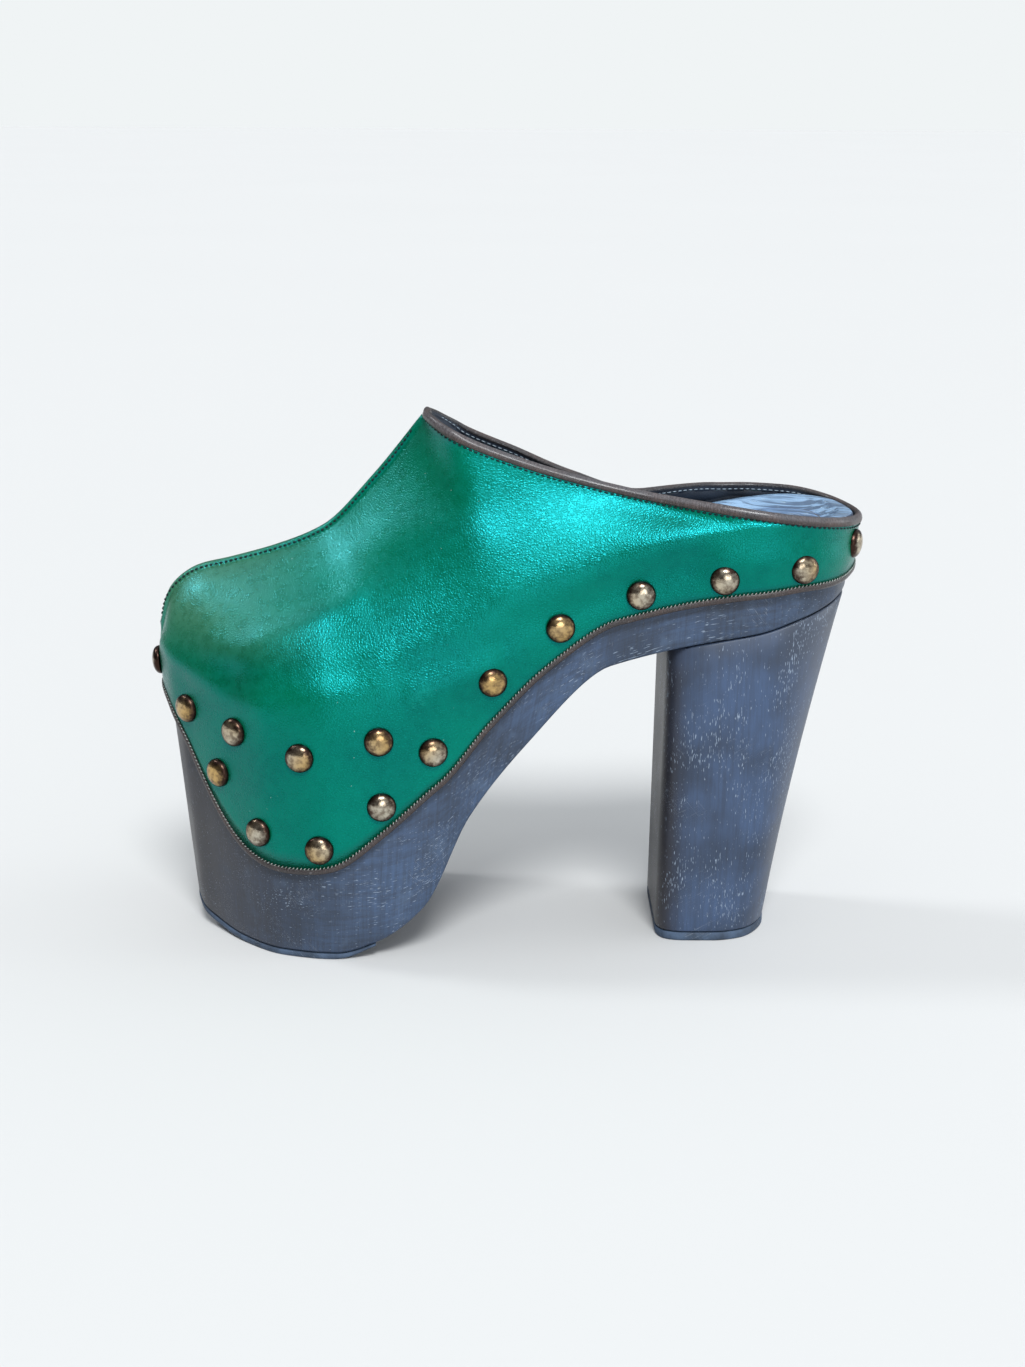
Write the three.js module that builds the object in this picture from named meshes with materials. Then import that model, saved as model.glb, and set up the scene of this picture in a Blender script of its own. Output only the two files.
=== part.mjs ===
// A right platform clog in millimetres, +Z up: a carved wooden sole on a block heel, and a studded
// leather upper that is open at the heel. The toe points to -X and the inner side of the foot to -Y.
import * as THREE from "three";
import { mergeVertices } from "three/addons/utils/BufferGeometryUtils.js";

// Driving sizes of the wood
const SOLE_LENGTH = 229;
const BALL_WIDTH = 90;
const PLATFORM_HEIGHT = 84;
const SEAT_HEIGHT = 143.4;
const DISH_DEPTH = 3.5;
const RIM_WIDTH = 4.5;
const WOOD_ROUNDING = 1.2;

// Driving sizes of the heel and of the two treads
const BREAST_X = 49.4;
const BREAST_LEAN = 1.8;
const HEEL_FOOT_LENGTH = 38.4;
const HEEL_FOOT_WIDTH = 54;
const HEEL_TOP_INSET = 0.8;
const HEEL_FLARE_AT_FOOT = 0.66;
const TREAD = 1.8;
const TREAD_END = 0.7;
const TOP_LIFT = 2.8;

// Driving sizes of the leather
const WALL = 1.8;
const THROAT_HEIGHT = 173;
const FOLD_RISE = 0.8;
const SEAM_HALF_WIDTH = 2.3;
const SEAM_FLAT_SHARE = 0.45;
const SEAM_HEIGHT = 1.1;
const COLLAR_BINDING_HEIGHT = 3.6;
const COLLAR_BINDING_ROUNDING = 1.1;
const EDGE_BINDING_HEIGHT = 2.1;
const BINDING_PROUD = 0.5;

// Driving sizes of the studs
const STUD_DIAMETER = 9.6;
const STUD_HEIGHT = 2.8;
const STUD_RIM = 0.5;
const STUD_INSET = 7.8;
const STUD_SIDES = 12;
const DOME_STEPS = 3;

// Clearances: between two pieces that meet, and between the leather and the wooden side under it
const GAP = 0.3;
const WOOD_GAP = 0.4;

// Steps in each interval of the tables that run from the toe to the back of the heel, and up a rib:
// on the wood, and from the fold to the top
const STEPS = 3;
const FLAP_STEPS = 3;
const CROWN_STEPS = 7;

// Turns rows under a heading of column names into one list for each column
function table(heading, rows) {
  const names = heading.split(" ");
  return Object.fromEntries(names.map((name, k) => [name, rows.map((row) => row[k])]));
}

// The wood. x and footX are shares of the length, the widths of the ball width. rise runs from the
// platform's height to the seat's, and under is the underside's share of the height of the top edge.
const wood = table("x inner outer rise footX footInner footOuter under", [
  [-0.505, 0, 0, 0.14, -0.468, 0, 0, 0.08],
  [-0.489, 0.126, 0.117, 0.12, -0.457, 0.11, 0.104, 0.052],
  [-0.454, 0.22, 0.206, 0.09, -0.428, 0.205, 0.192, 0.022],
  [-0.4, 0.333, 0.317, 0.05, -0.384, 0.333, 0.315, 0.004],
  [-0.332, 0.442, 0.428, 0.014, -0.325, 0.45, 0.43, 0],
  [-0.253, 0.489, 0.5, 0, -0.253, 0.494, 0.5, 0],
  [-0.175, 0.478, 0.511, 0.01, -0.192, 0.48, 0.49, 0.05],
  [-0.096, 0.444, 0.478, 0.1, -0.122, 0.455, 0.47, 0.189],
  [-0.017, 0.4, 0.428, 0.3, -0.057, 0.41, 0.42, 0.461],
  [0.066, 0.366, 0.386, 0.54, 0.026, 0.37, 0.376, 0.612],
  [0.157, 0.341, 0.356, 0.75, 0.142, 0.336, 0.341, 0.746],
  [0.253, 0.341, 0.351, 0.88, 0.245, 0.336, 0.341, 0.75],
  [0.345, 0.346, 0.351, 0.955, 0.341, 0.346, 0.346, 0.757],
  [0.419, 0.312, 0.312, 0.99, 0.414, 0.307, 0.307, 0.781],
  [0.473, 0.2, 0.2, 0.995, 0.466, 0.192, 0.192, 0.81],
  [0.496, 0, 0, 0.98, 0.487, 0, 0, 0.825],
]);

// The upper's ribs, one for each row of the wood. edge is how far down the wooden side the leather
// reaches. climb, lean, spread and drop shape the rib between the fold over the wood and its top.
const ribs = table("edge climb lean spread drop", [
  [0.103, 0.4, 0, 0, 0.4],
  [0.151, 0.5, 0.03, 0.5, 0.14],
  [0.326, 0.46, 0.07, 0.52, 0.12],
  [0.552, 0.4, 0.09, 0.54, 0.14],
  [0.633, 0.36, 0.1, 0.54, 0.2],
  [0.619, 0.34, 0.09, 0.52, 0.26],
  [0.51, 0.32, 0.06, 0.46, 0.3],
  [0.415, 0.3, 0.03, 0.42, 0.3],
  [0.436, 0.34, 0.02, 0.34, 0.36],
  [0.411, 0.34, 0.02, 0.3, 0.4],
  [0.523, 0.36, 0.02, 0.26, 0.4],
  [0.557, 0.36, 0, 0.2, 0.4],
  [0.587, 0.34, 0, 0, 0.34],
  [0.64, 0.34, 0, 0, 0.34],
  [0.707, 0.34, 0, 0, 0.34],
  [0.659, 0.34, 0, 0, 0.34],
]);

// The ridge of the vamp, from the toe to the throat: x in shares of the length, rise from the
// platform's height to the throat's.
const ridge = table("x rise", [
  [-0.508, 0.221],
  [-0.493, 0.343],
  [-0.454, 0.426],
  [-0.402, 0.46],
  [-0.336, 0.509],
  [-0.269, 0.584],
  [-0.197, 0.772],
  [-0.125, 1],
]);

// The collar, from the throat to the back of the heel: along is a share of that way, inward a share of
// the half width there, and rise runs from the seat's height to the throat's.
const collar = table("along innerIn outerIn innerRise outerRise", [
  [0, 1, 1, 1, 1],
  [0.063, 0.6, 0.62, 0.83, 0.78],
  [0.205, 0.47, 0.47, 0.57, 0.48],
  [0.343, 0.39, 0.38, 0.375, 0.2],
  [0.51, 0.26, 0.24, 0.2, -0.02],
  [0.69, 0.05, 0.02, 0.085, -0.01],
  [0.849, 0, 0, -0.02, -0.02],
  [0.96, 0, 0, -0.09, -0.09],
  [1, 0, 0, -0.13, -0.13],
]);

// Half the outline of the heel, from the breast to the back: shares of its length and half width
const heelOutline = table("along out", [
  [0, 0],
  [0, 0.66],
  [0.06, 0.92],
  [0.24, 1],
  [0.5, 1],
  [0.74, 0.9],
  [0.9, 0.64],
  [0.98, 0.33],
  [1, 0],
]);

// The studs of one side: at counts rows of the tables from the toe, up is the distance from the
// lower edge as a share of the inset of the outer line of studs.
const studRows = table("at up", [
  [1.8, 0.9],
  [2.7, 1.15],
  [3.65, 1.1],
  [4.8, 0.85],
  [6, 0.9],
  [6.9, 1.2],
  [7.95, 1.1],
  [9.1, 0.95],
  [10.3, 0.8],
  [11.5, 0.75],
  [12.85, 0.75],
  [14.3, 1.15],
  [3.2, 3.9],
  [4.5, 4.85],
  [5.9, 3.1],
]);

// The same share for the single stud at the toe
const TOE_STUD_UP = 0.9;

const LAST_ROW = wood.x.length - 1;
const THROAT_ROW = ridge.x.length - 1;
const TREAD_ROW = 6;
const SEAT_ROW = 12;
const STATIONS = LAST_ROW * STEPS;
const THROAT_STATION = THROAT_ROW * STEPS;

// Value of a column between its rows, smooth and without overshoot. Past an end the column is
// mirrored ("even"), mirrored with its sign turned ("odd") or carried straight on ("open").
function between(column, at, ends) {
  const last = column.length - 1;
  const value = (i) => {
    if (i >= 0 && i <= last) return column[i];
    const end = i < 0 ? 0 : last;
    const mirrored = column[2 * end - i];
    if (ends === "even") return mirrored;
    return 2 * column[end] - mirrored;
  };
  const slope = (i) => {
    const before = value(i) - value(i - 1);
    const after = value(i + 1) - value(i);
    return before * after > 0 ? (2 * before * after) / (before + after) : 0;
  };
  const i = Math.min(Math.floor(at), last - 1);
  const t = at - i;
  const rise = value(i + 1) - value(i);
  const m0 = slope(i);
  const m1 = slope(i + 1);
  return value(i) + t * (m0 + t * (3 * rise - 2 * m0 - m1 + t * (m0 + m1 - 2 * rise)));
}

const SIDES = [
  { name: "inner", sign: -1 },
  { name: "outer", sign: 1 },
];

const lerp = (a, b, t) => a + (b - a) * t;
const capital = (word) => word[0].toUpperCase() + word.slice(1);

// Top edge and foot of the wooden side at a place along the tables
function topEdge(side, at) {
  return new THREE.Vector3(
    between(wood.x, at, "even") * SOLE_LENGTH,
    side.sign * between(wood[side.name], at, "odd") * BALL_WIDTH,
    lerp(PLATFORM_HEIGHT, SEAT_HEIGHT, between(wood.rise, at, "even")),
  );
}

function footEdge(side, at) {
  return new THREE.Vector3(
    between(wood.footX, at, "even") * SOLE_LENGTH,
    side.sign * between(wood["foot" + capital(side.name)], at, "odd") * BALL_WIDTH,
    between(wood.under, at, "even") * topEdge(side, at).z,
  );
}

// Outward direction of the wood's outline in plan
function outward(side, at) {
  const step = 0.05;
  if (at < step) return new THREE.Vector3(-1, 0, 0);
  if (at > LAST_ROW - step) return new THREE.Vector3(1, 0, 0);
  const along = topEdge(side, at + step).sub(topEdge(side, at - step));
  return new THREE.Vector3(along.y, -along.x, 0).multiplyScalar(-side.sign).normalize();
}

// Thickness of the tread, which thins out where the arch begins
const treadAt = (at) => lerp(TREAD, TREAD_END, THREE.MathUtils.clamp(at - TREAD_ROW + 1, 0, 1));

// A point on the wooden side, down from its top edge by a share of the side's height
const onSide = (side, at, down) => topEdge(side, at).lerp(footEdge(side, at), down);

// The leather's outer face where it lies on the wood, at the height of the wood's top edge
const leatherEdge = (side, at) => topEdge(side, at).addScaledVector(outward(side, at), WOOD_GAP + WALL);

// The place along the tables where the leather's outer face has a given x
function placeAt(side, x) {
  let low = 0;
  let high = LAST_ROW;
  while (high - low > 1e-6) {
    const middle = (low + high) / 2;
    if (leatherEdge(side, middle).x < x) low = middle;
    else high = middle;
  }
  return high;
}

// The top of a rib: on the ridge in front of the throat, on the collar behind it
function ribTop(side, at) {
  const front = Math.min(at, THROAT_ROW);
  const onRidge = new THREE.Vector3(
    between(ridge.x, front, "open") * SOLE_LENGTH,
    0,
    lerp(PLATFORM_HEIGHT, THROAT_HEIGHT, between(ridge.rise, front, "open")),
  );
  if (at <= THROAT_ROW) return onRidge;
  const back = at - THROAT_ROW;
  const end = leatherEdge(side, LAST_ROW).x;
  const x = lerp(onRidge.x, end, between(collar.along, back, "even"));
  const place = leatherEdge(side, placeAt(side, x));
  place.y *= 1 - between(collar[side.name + "In"], back, "open");
  place.z = lerp(SEAT_HEIGHT, THROAT_HEIGHT, between(collar[side.name + "Rise"], back, "even"));
  return place;
}

// One rib of the upper's outer face, from the lower edge up the wood, over the fold and to the top.
// Its last steps are the width of the raised seam, which only the vamp has.
function rib(side, at) {
  const offset = outward(side, at).multiplyScalar(WOOD_GAP + WALL);
  const top = ribTop(side, at);
  const wooden = topEdge(side, at);
  const foldHeight = Math.min(wooden.z + FOLD_RISE, top.z - COLLAR_BINDING_HEIGHT / 2);
  const height = wooden.z - footEdge(side, at).z;
  const foldDown = (wooden.z - foldHeight) / height;
  const edge = between(ribs.edge, at, "even");
  const points = [];
  for (let k = 0; k < FLAP_STEPS; k++) {
    points.push(onSide(side, at, lerp(edge, foldDown, k / FLAP_STEPS)).add(offset));
  }
  const fold = onSide(side, at, foldDown).add(offset);
  const reach = top.clone().sub(fold);
  const climb = between(ribs.climb, at, "even");
  const lean = between(ribs.lean, at, "even");
  const spread = between(ribs.spread, at, "even");
  const drop = between(ribs.drop, at, "even");
  const curve = new THREE.CubicBezierCurve3(
    fold,
    fold.clone().add(new THREE.Vector3(reach.x * lean, reach.y * lean, reach.z * climb)),
    top.clone().sub(new THREE.Vector3(reach.x * spread, reach.y * spread, reach.z * drop)),
    top,
  );
  const seam = Math.min(SEAM_HALF_WIDTH / curve.getLength(), 1 / CROWN_STEPS);
  for (let k = 0; k <= CROWN_STEPS; k++) points.push(curve.getPointAt(lerp(0, 1 - seam, k / CROWN_STEPS)));
  points.push(curve.getPointAt(1 - seam * SEAM_FLAT_SHARE));
  points.push(top);
  return points;
}

// Collects faces over shared points and gives them back as one closed geometry
class Skin {
  constructor() {
    this.triangles = [];
  }
  triangle(a, b, c) {
    const same = a.distanceTo(b) < 1e-3 || b.distanceTo(c) < 1e-3 || c.distanceTo(a) < 1e-3;
    if (!same) this.triangles.push(a, b, c);
  }
  quad(a, b, c, d) {
    if (a.distanceTo(c) <= b.distanceTo(d)) {
      this.triangle(a, b, c);
      this.triangle(a, c, d);
    } else {
      this.triangle(a, b, d);
      this.triangle(b, c, d);
    }
  }
  // A strip between two lists of points of one length
  band(lower, upper, closed) {
    const count = lower.length;
    for (let k = 0; k < (closed ? count : count - 1); k++) {
      const next = (k + 1) % count;
      this.quad(lower[k], lower[next], upper[next], upper[k]);
    }
  }
  // Closes a ring that is a mirror pair of halves with strips from one half to the other
  cap(ring, up) {
    const count = ring.length;
    const half = count / 2;
    for (let k = 0; k < half; k++) {
      const far = ring[(count - k) % count];
      const farNext = ring[count - k - 1];
      if (up) this.quad(ring[k], ring[k + 1], farNext, far);
      else this.quad(far, farNext, ring[k + 1], ring[k]);
    }
  }
  geometry() {
    const made = new THREE.BufferGeometry().setFromPoints(this.triangles);
    return mergeVertices(made, 1e-3);
  }
}

// Stacked rings with a cap below and above. Each ring starts at the front or back centre point.
function stack(rings) {
  const skin = new Skin();
  skin.cap(rings[0], false);
  for (let k = 0; k + 1 < rings.length; k++) skin.band(rings[k], rings[k + 1], true);
  skin.cap(rings[rings.length - 1], true);
  return skin.geometry();
}

// A ring of points round the sole, counter-clockwise from above: the toe, the inner side, the heel,
// the outer side. last is the rearmost station, where an open ring is cut straight across.
function soleRing(point, last = STATIONS) {
  const ring = [];
  for (let i = 0; i <= last; i++) ring.push(point(SIDES[0], i / STEPS));
  if (last < STATIONS) ring.push(ring[last].clone().setY(0));
  for (let i = last < STATIONS ? last : last - 1; i > 0; i--) ring.push(point(SIDES[1], i / STEPS));
  return ring;
}

// The nearest point of the sole's centre line, at the same height
function spineOf(point) {
  const half = SOLE_LENGTH / 2 - BALL_WIDTH / 3;
  return new THREE.Vector3(THREE.MathUtils.clamp(point.x, -half, half), 0, point.z);
}

// Moves a point of the outline towards the centre line by a distance in plan
function inset(point, distance) {
  const spine = spineOf(point);
  return point.lerp(spine, Math.min(distance / point.distanceTo(spine), 0.9));
}

// Rings of the dished foot bed: in is a share of the way from the rim to the centre line, and deep a
// share of the dish's depth
const dishRings = table("in deep", [
  [0, 0],
  [0.16, 0.5],
  [0.45, 0.9],
  [0.75, 1],
]);

// The carved sole: rounded lower edge, straight sides, a raised rim and a dished foot bed
function solePiece() {
  const lifted = (side, at) => {
    const foot = footEdge(side, at);
    const fade = THREE.MathUtils.clamp(TREAD_ROW + 1 - at, 0, 1);
    foot.z += (treadAt(at) + GAP) * fade;
    return foot;
  };
  const wall = (side, at, height) => {
    const foot = lifted(side, at);
    const top = topEdge(side, at);
    return foot.lerp(top, height / (top.z - foot.z));
  };
  const sideHeight = (side, at) => topEdge(side, at).z - lifted(side, at).z;
  const dish = (k) => (side, at) => {
    const top = topEdge(side, at);
    const point = inset(top, RIM_WIDTH).lerp(spineOf(top), dishRings.in[k]);
    point.z -= dishRings.deep[k] * DISH_DEPTH;
    return point;
  };
  return stack([
    soleRing((side, at) => inset(lifted(side, at), WOOD_ROUNDING)),
    soleRing((side, at) => wall(side, at, WOOD_ROUNDING)),
    soleRing((side, at) => wall(side, at, sideHeight(side, at) - WOOD_ROUNDING)),
    soleRing((side, at) => inset(topEdge(side, at), WOOD_ROUNDING)),
    ...dishRings.in.map((_, k) => soleRing(dish(k))),
  ]);
}

// The tread under the forefoot follows the toe spring and ends where the arch rises
function outsolePiece() {
  const last = TREAD_ROW * STEPS;
  const raised = (share) => (side, at) => {
    const foot = footEdge(side, at);
    foot.z += treadAt(at) * share;
    return foot;
  };
  const rounded = (side, at) => inset(footEdge(side, at), treadAt(at) / 2);
  return stack([soleRing(rounded, last), soleRing(raised(0.5), last), soleRing(raised(1), last)]);
}

// Height of the sole's underside at a place along the shoe
function underside(x) {
  for (let i = 0; i < STATIONS; i++) {
    const front = footEdge(SIDES[0], i / STEPS);
    const back = footEdge(SIDES[0], (i + 1) / STEPS);
    if (x <= back.x) return lerp(front.z, back.z, (x - front.x) / (back.x - front.x));
  }
  return footEdge(SIDES[0], LAST_ROW).z;
}

// A ring of the heel. t runs from its foot to the sole's underside, and the back flares on the way.
const HEEL_STEPS = 2;
function heelRing(t, heightAt) {
  const topBack = footEdge(SIDES[0], LAST_ROW).x - HEEL_TOP_INSET;
  const footBack = BREAST_X + HEEL_FOOT_LENGTH;
  const front = BREAST_X + BREAST_LEAN * t;
  const back = lerp(footBack, topBack, t * lerp(HEEL_FLARE_AT_FOOT, 1, t));
  const topWidth = between(wood.footInner, SEAT_ROW, "odd") * BALL_WIDTH - HEEL_TOP_INSET;
  const halfWidth = lerp(HEEL_FOOT_WIDTH / 2, topWidth, t);
  const half = (heelOutline.along.length - 1) * HEEL_STEPS;
  const ring = [];
  for (let k = 0; k < 2 * half; k++) {
    const at = (k <= half ? k : 2 * half - k) / HEEL_STEPS;
    const sign = k <= half ? -1 : 1;
    const x = lerp(front, back, between(heelOutline.along, at, "even"));
    const y = sign * halfWidth * between(heelOutline.out, at, "odd");
    ring.push(new THREE.Vector3(x, y, heightAt(x)));
  }
  return ring;
}

const HEEL_LEVELS = [0, 0.2, 0.4, 0.6, 0.8, 1];
function heelPiece() {
  const foot = TOP_LIFT + GAP;
  return stack(HEEL_LEVELS.map((t) => heelRing(t, (x) => lerp(foot, underside(x) - WOOD_GAP, t))));
}

function topLiftPiece() {
  return stack([heelRing(0, () => 0), heelRing(0, () => TOP_LIFT)]);
}

// The upper's outer face as a grid of ribs for each side. Ribs share their points on the centre line.
const grid = SIDES.map((side) => {
  const made = [];
  for (let i = 0; i <= STATIONS; i++) made.push(rib(side, i / STEPS));
  return made;
});
const RIB_LAST = grid[0][0].length - 1;
const centred = (point) => point.setY(0);
for (const side of grid) {
  side[0].forEach(centred);
  side[STATIONS].forEach(centred);
}

// Outward normal at each point of the grid, the same for points that the two sides share
function gridNormals() {
  const key = (p) => p.toArray().map((v) => Math.round(v * 1e3)).join();
  const sums = new Map();
  const add = (a, b, c) => {
    const normal = b.clone().sub(a).cross(c.clone().sub(a));
    for (const p of [a, b, c]) {
      if (!sums.has(key(p))) sums.set(key(p), new THREE.Vector3());
      sums.get(key(p)).add(normal);
    }
  };
  grid.forEach((side, s) => {
    for (let i = 0; i < STATIONS; i++) {
      for (let j = 0; j < RIB_LAST; j++) {
        const corners = [side[i][j], side[i + 1][j], side[i + 1][j + 1], side[i][j + 1]];
        if (s === 1) corners.reverse();
        add(corners[0], corners[1], corners[2]);
        add(corners[0], corners[2], corners[3]);
      }
    }
  });
  return grid.map((side) => side.map((line) => line.map((p) => sums.get(key(p)).clone().normalize())));
}
const normals = gridNormals();

// The raised seam lifts the last two points of the ribs of the vamp
function seamLift(i, j) {
  if (i === 0 || i > THROAT_STATION || j < RIB_LAST - 1) return 0;
  return SEAM_HEIGHT;
}

const outerFace = grid.map((side, s) =>
  side.map((line, i) => line.map((p, j) => p.clone().addScaledVector(normals[s][i][j], seamLift(i, j)))),
);
const innerFace = grid.map((side, s) =>
  side.map((line, i) => line.map((p, j) => p.clone().addScaledVector(normals[s][i][j], -WALL))),
);

// The upper: two faces a wall apart, joined along the lower edge and along the collar
function upperPiece() {
  const skin = new Skin();
  const band = (lower, upper, turned) => {
    if (turned) skin.band(upper, lower, false);
    else skin.band(lower, upper, false);
  };
  SIDES.forEach((side, s) => {
    const turned = s === 1;
    const row = (face, j, from) => face[s].slice(from).map((line) => line[j]);
    for (let j = 0; j < RIB_LAST; j++) {
      band(row(outerFace, j, 0), row(outerFace, j + 1, 0), turned);
      band(row(innerFace, j, 0), row(innerFace, j + 1, 0), !turned);
    }
    band(row(innerFace, 0, 0), row(outerFace, 0, 0), turned);
    band(row(outerFace, RIB_LAST, THROAT_STATION), row(innerFace, RIB_LAST, THROAT_STATION), turned);
  });
  return skin.geometry();
}

// A closed path of points with their normals: one side from a station to the back, then the other
// side back again
function edgePath(j, from) {
  const take = (s, i) => ({ point: grid[s][i][j], normal: normals[s][i][j] });
  const path = [];
  for (let i = from; i <= STATIONS; i++) path.push(take(0, i));
  for (let i = STATIONS - 1; i > from; i--) path.push(take(1, i));
  return path;
}

// A strip along an edge of the upper. profile holds its corners as distances out from the leather's
// outer face and away from its edge. sense is 1 above the edge and -1 below it.
function bindingPiece(path, profile, sense) {
  const count = path.length;
  const rings = path.map(({ point, normal }, k) => {
    const along = path[(k + 1) % count].point.clone().sub(path[(k + count - 1) % count].point);
    const away = normal.clone().cross(along).normalize().multiplyScalar(sense);
    return profile.map(([out, up]) => point.clone().addScaledVector(normal, out).addScaledVector(away, up));
  });
  const skin = new Skin();
  for (let k = 0; k < count; k++) {
    const next = rings[(k + 1) % count];
    if (sense > 0) skin.band(next, rings[k], true);
    else skin.band(rings[k], next, true);
  }
  return skin.geometry();
}

// The collar's binding is rounded over its top; the lower one is a flat strip
function collarBinding() {
  const top = GAP + COLLAR_BINDING_HEIGHT;
  const shoulder = top - COLLAR_BINDING_ROUNDING;
  const profile = [
    [BINDING_PROUD, GAP],
    [BINDING_PROUD, shoulder],
    [BINDING_PROUD - COLLAR_BINDING_ROUNDING, top],
    [-WALL, shoulder],
    [-WALL, GAP],
  ];
  return bindingPiece(edgePath(RIB_LAST, THROAT_STATION), profile, 1);
}

function edgeBinding() {
  const low = GAP + EDGE_BINDING_HEIGHT;
  const profile = [
    [BINDING_PROUD, GAP],
    [BINDING_PROUD, low - BINDING_PROUD],
    [0, low],
    [-WALL, low],
    [-WALL, GAP],
  ];
  return bindingPiece(edgePath(0, 0), profile, -1);
}

// Where a stud sits: on the outer face, up a rib, a distance square to the lower edge
function studSeat(s, at, up) {
  const low = Math.min(Math.floor(at * STEPS), STATIONS - 1);
  const t = at * STEPS - low;
  const place = (list, j) => list[s][low][j].clone().lerp(list[s][low + 1][j], t);
  const rising = place(grid, 1).sub(place(grid, 0)).normalize();
  const along = grid[s][low + 1][0].clone().sub(grid[s][low][0]).normalize();
  let left = (up * STUD_INSET) / rising.cross(along).length();
  for (let j = 0; j < RIB_LAST; j++) {
    const from = place(grid, j);
    const to = place(grid, j + 1);
    const length = from.distanceTo(to);
    if (left <= length) {
      const share = left / length;
      const normal = place(normals, j).lerp(place(normals, j + 1), share).normalize();
      return { point: from.lerp(to, share), normal };
    }
    left -= length;
  }
  throw new Error("a stud lies above the top of its rib");
}

function studGeometry() {
  const radius = STUD_DIAMETER / 2;
  const dome = STUD_HEIGHT - STUD_RIM;
  const profile = [new THREE.Vector2(0, 0), new THREE.Vector2(radius, 0)];
  for (let k = 0; k <= DOME_STEPS; k++) {
    const turn = (k / DOME_STEPS) * (Math.PI / 2);
    profile.push(new THREE.Vector2(radius * Math.cos(turn), STUD_RIM + dome * Math.sin(turn)));
  }
  const made = new THREE.LatheGeometry(profile, STUD_SIDES);
  made.deleteAttribute("normal");
  made.deleteAttribute("uv");
  return mergeVertices(made, 1e-3).rotateX(Math.PI / 2);
}

const leather = { color: 0x05806c, roughness: 0.42, metalness: 0 };
const stainedWood = { color: 0x4a5768, roughness: 0.55, metalness: 0 };
const brownLeather = { color: 0x5e5150, roughness: 0.6, metalness: 0 };
const rubber = { color: 0x5c6f86, roughness: 0.7, metalness: 0 };
const brass = { color: 0xa98a55, roughness: 0.28, metalness: 1 };

const clog = new THREE.Group();
function addPiece(name, geometry, finish) {
  const mesh = new THREE.Mesh(geometry, new THREE.MeshStandardMaterial(finish));
  mesh.name = name;
  clog.add(mesh);
  return mesh;
}

addPiece("sole", solePiece(), stainedWood);
addPiece("heel", heelPiece(), stainedWood);
addPiece("outsole", outsolePiece(), rubber);
addPiece("top_lift", topLiftPiece(), rubber);
addPiece("upper", upperPiece(), leather);
addPiece("collar_binding", collarBinding(), brownLeather);
addPiece("edge_binding", edgeBinding(), brownLeather);

const domed = studGeometry();
function addStud(name, s, at, up) {
  const { point, normal } = studSeat(s, at, up);
  const stud = addPiece(name, domed, brass);
  stud.position.copy(point).addScaledVector(normal, GAP);
  stud.quaternion.setFromUnitVectors(new THREE.Vector3(0, 0, 1), normal);
}

addStud("stud_toe", 0, 0, TOE_STUD_UP);
SIDES.forEach((side, s) => {
  studRows.at.forEach((at, k) => addStud(`stud_${side.name}_${k + 1}`, s, at, studRows.up[k]));
});

// The origin is under the middle of the whole shoe, on the floor
const box = new THREE.Box3().setFromObject(clog, true);
clog.position.set(-(box.min.x + box.max.x) / 2, -(box.min.y + box.max.y) / 2, -box.min.z);

export default clog;
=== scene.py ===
import math

import bpy
import numpy as np
from mathutils import Matrix, Vector, noise


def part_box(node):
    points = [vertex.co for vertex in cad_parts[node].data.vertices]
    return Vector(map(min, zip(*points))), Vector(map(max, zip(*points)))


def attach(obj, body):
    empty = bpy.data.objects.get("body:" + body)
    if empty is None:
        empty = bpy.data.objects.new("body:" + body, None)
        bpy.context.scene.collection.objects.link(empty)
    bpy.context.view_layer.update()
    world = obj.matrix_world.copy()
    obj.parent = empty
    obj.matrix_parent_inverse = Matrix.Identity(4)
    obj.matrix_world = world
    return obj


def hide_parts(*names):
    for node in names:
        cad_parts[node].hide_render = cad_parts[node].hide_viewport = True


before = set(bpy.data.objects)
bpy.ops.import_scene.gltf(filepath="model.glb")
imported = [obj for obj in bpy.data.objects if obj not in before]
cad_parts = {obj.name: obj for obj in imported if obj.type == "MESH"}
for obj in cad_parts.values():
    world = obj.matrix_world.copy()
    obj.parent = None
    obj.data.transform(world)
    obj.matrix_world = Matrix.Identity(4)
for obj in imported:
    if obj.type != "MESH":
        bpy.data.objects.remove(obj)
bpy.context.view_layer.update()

# The sole is one carved piece of light wood: a platform, an arch and a dished foot bed with a raised
# rim. It is stained slate blue, and pores, scratches and the stain's streaks show through. Lengths are
# in millimetres up to the point where a mesh is made.
SOLE_LENGTH = 229
BALL_WIDTH = 90
PLATFORM_HEIGHT = 84
SEAT_HEIGHT = 143.4
DISH_DEPTH = 3.5
RIM_WIDTH = 4.5
WOOD_ROUNDING = 1.2
TREAD = 1.8
TREAD_END = 0.7
TREAD_ROW = 6
GAP = 0.3
STEPS = 12
SIGN = {"inner": -1, "outer": 1}


# A table of numbers under the names of its columns
def table(lines):
    heading, *rows = lines.split("\n")
    return dict(zip(heading.split(), np.array([row.split() for row in rows], float).T))


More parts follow.
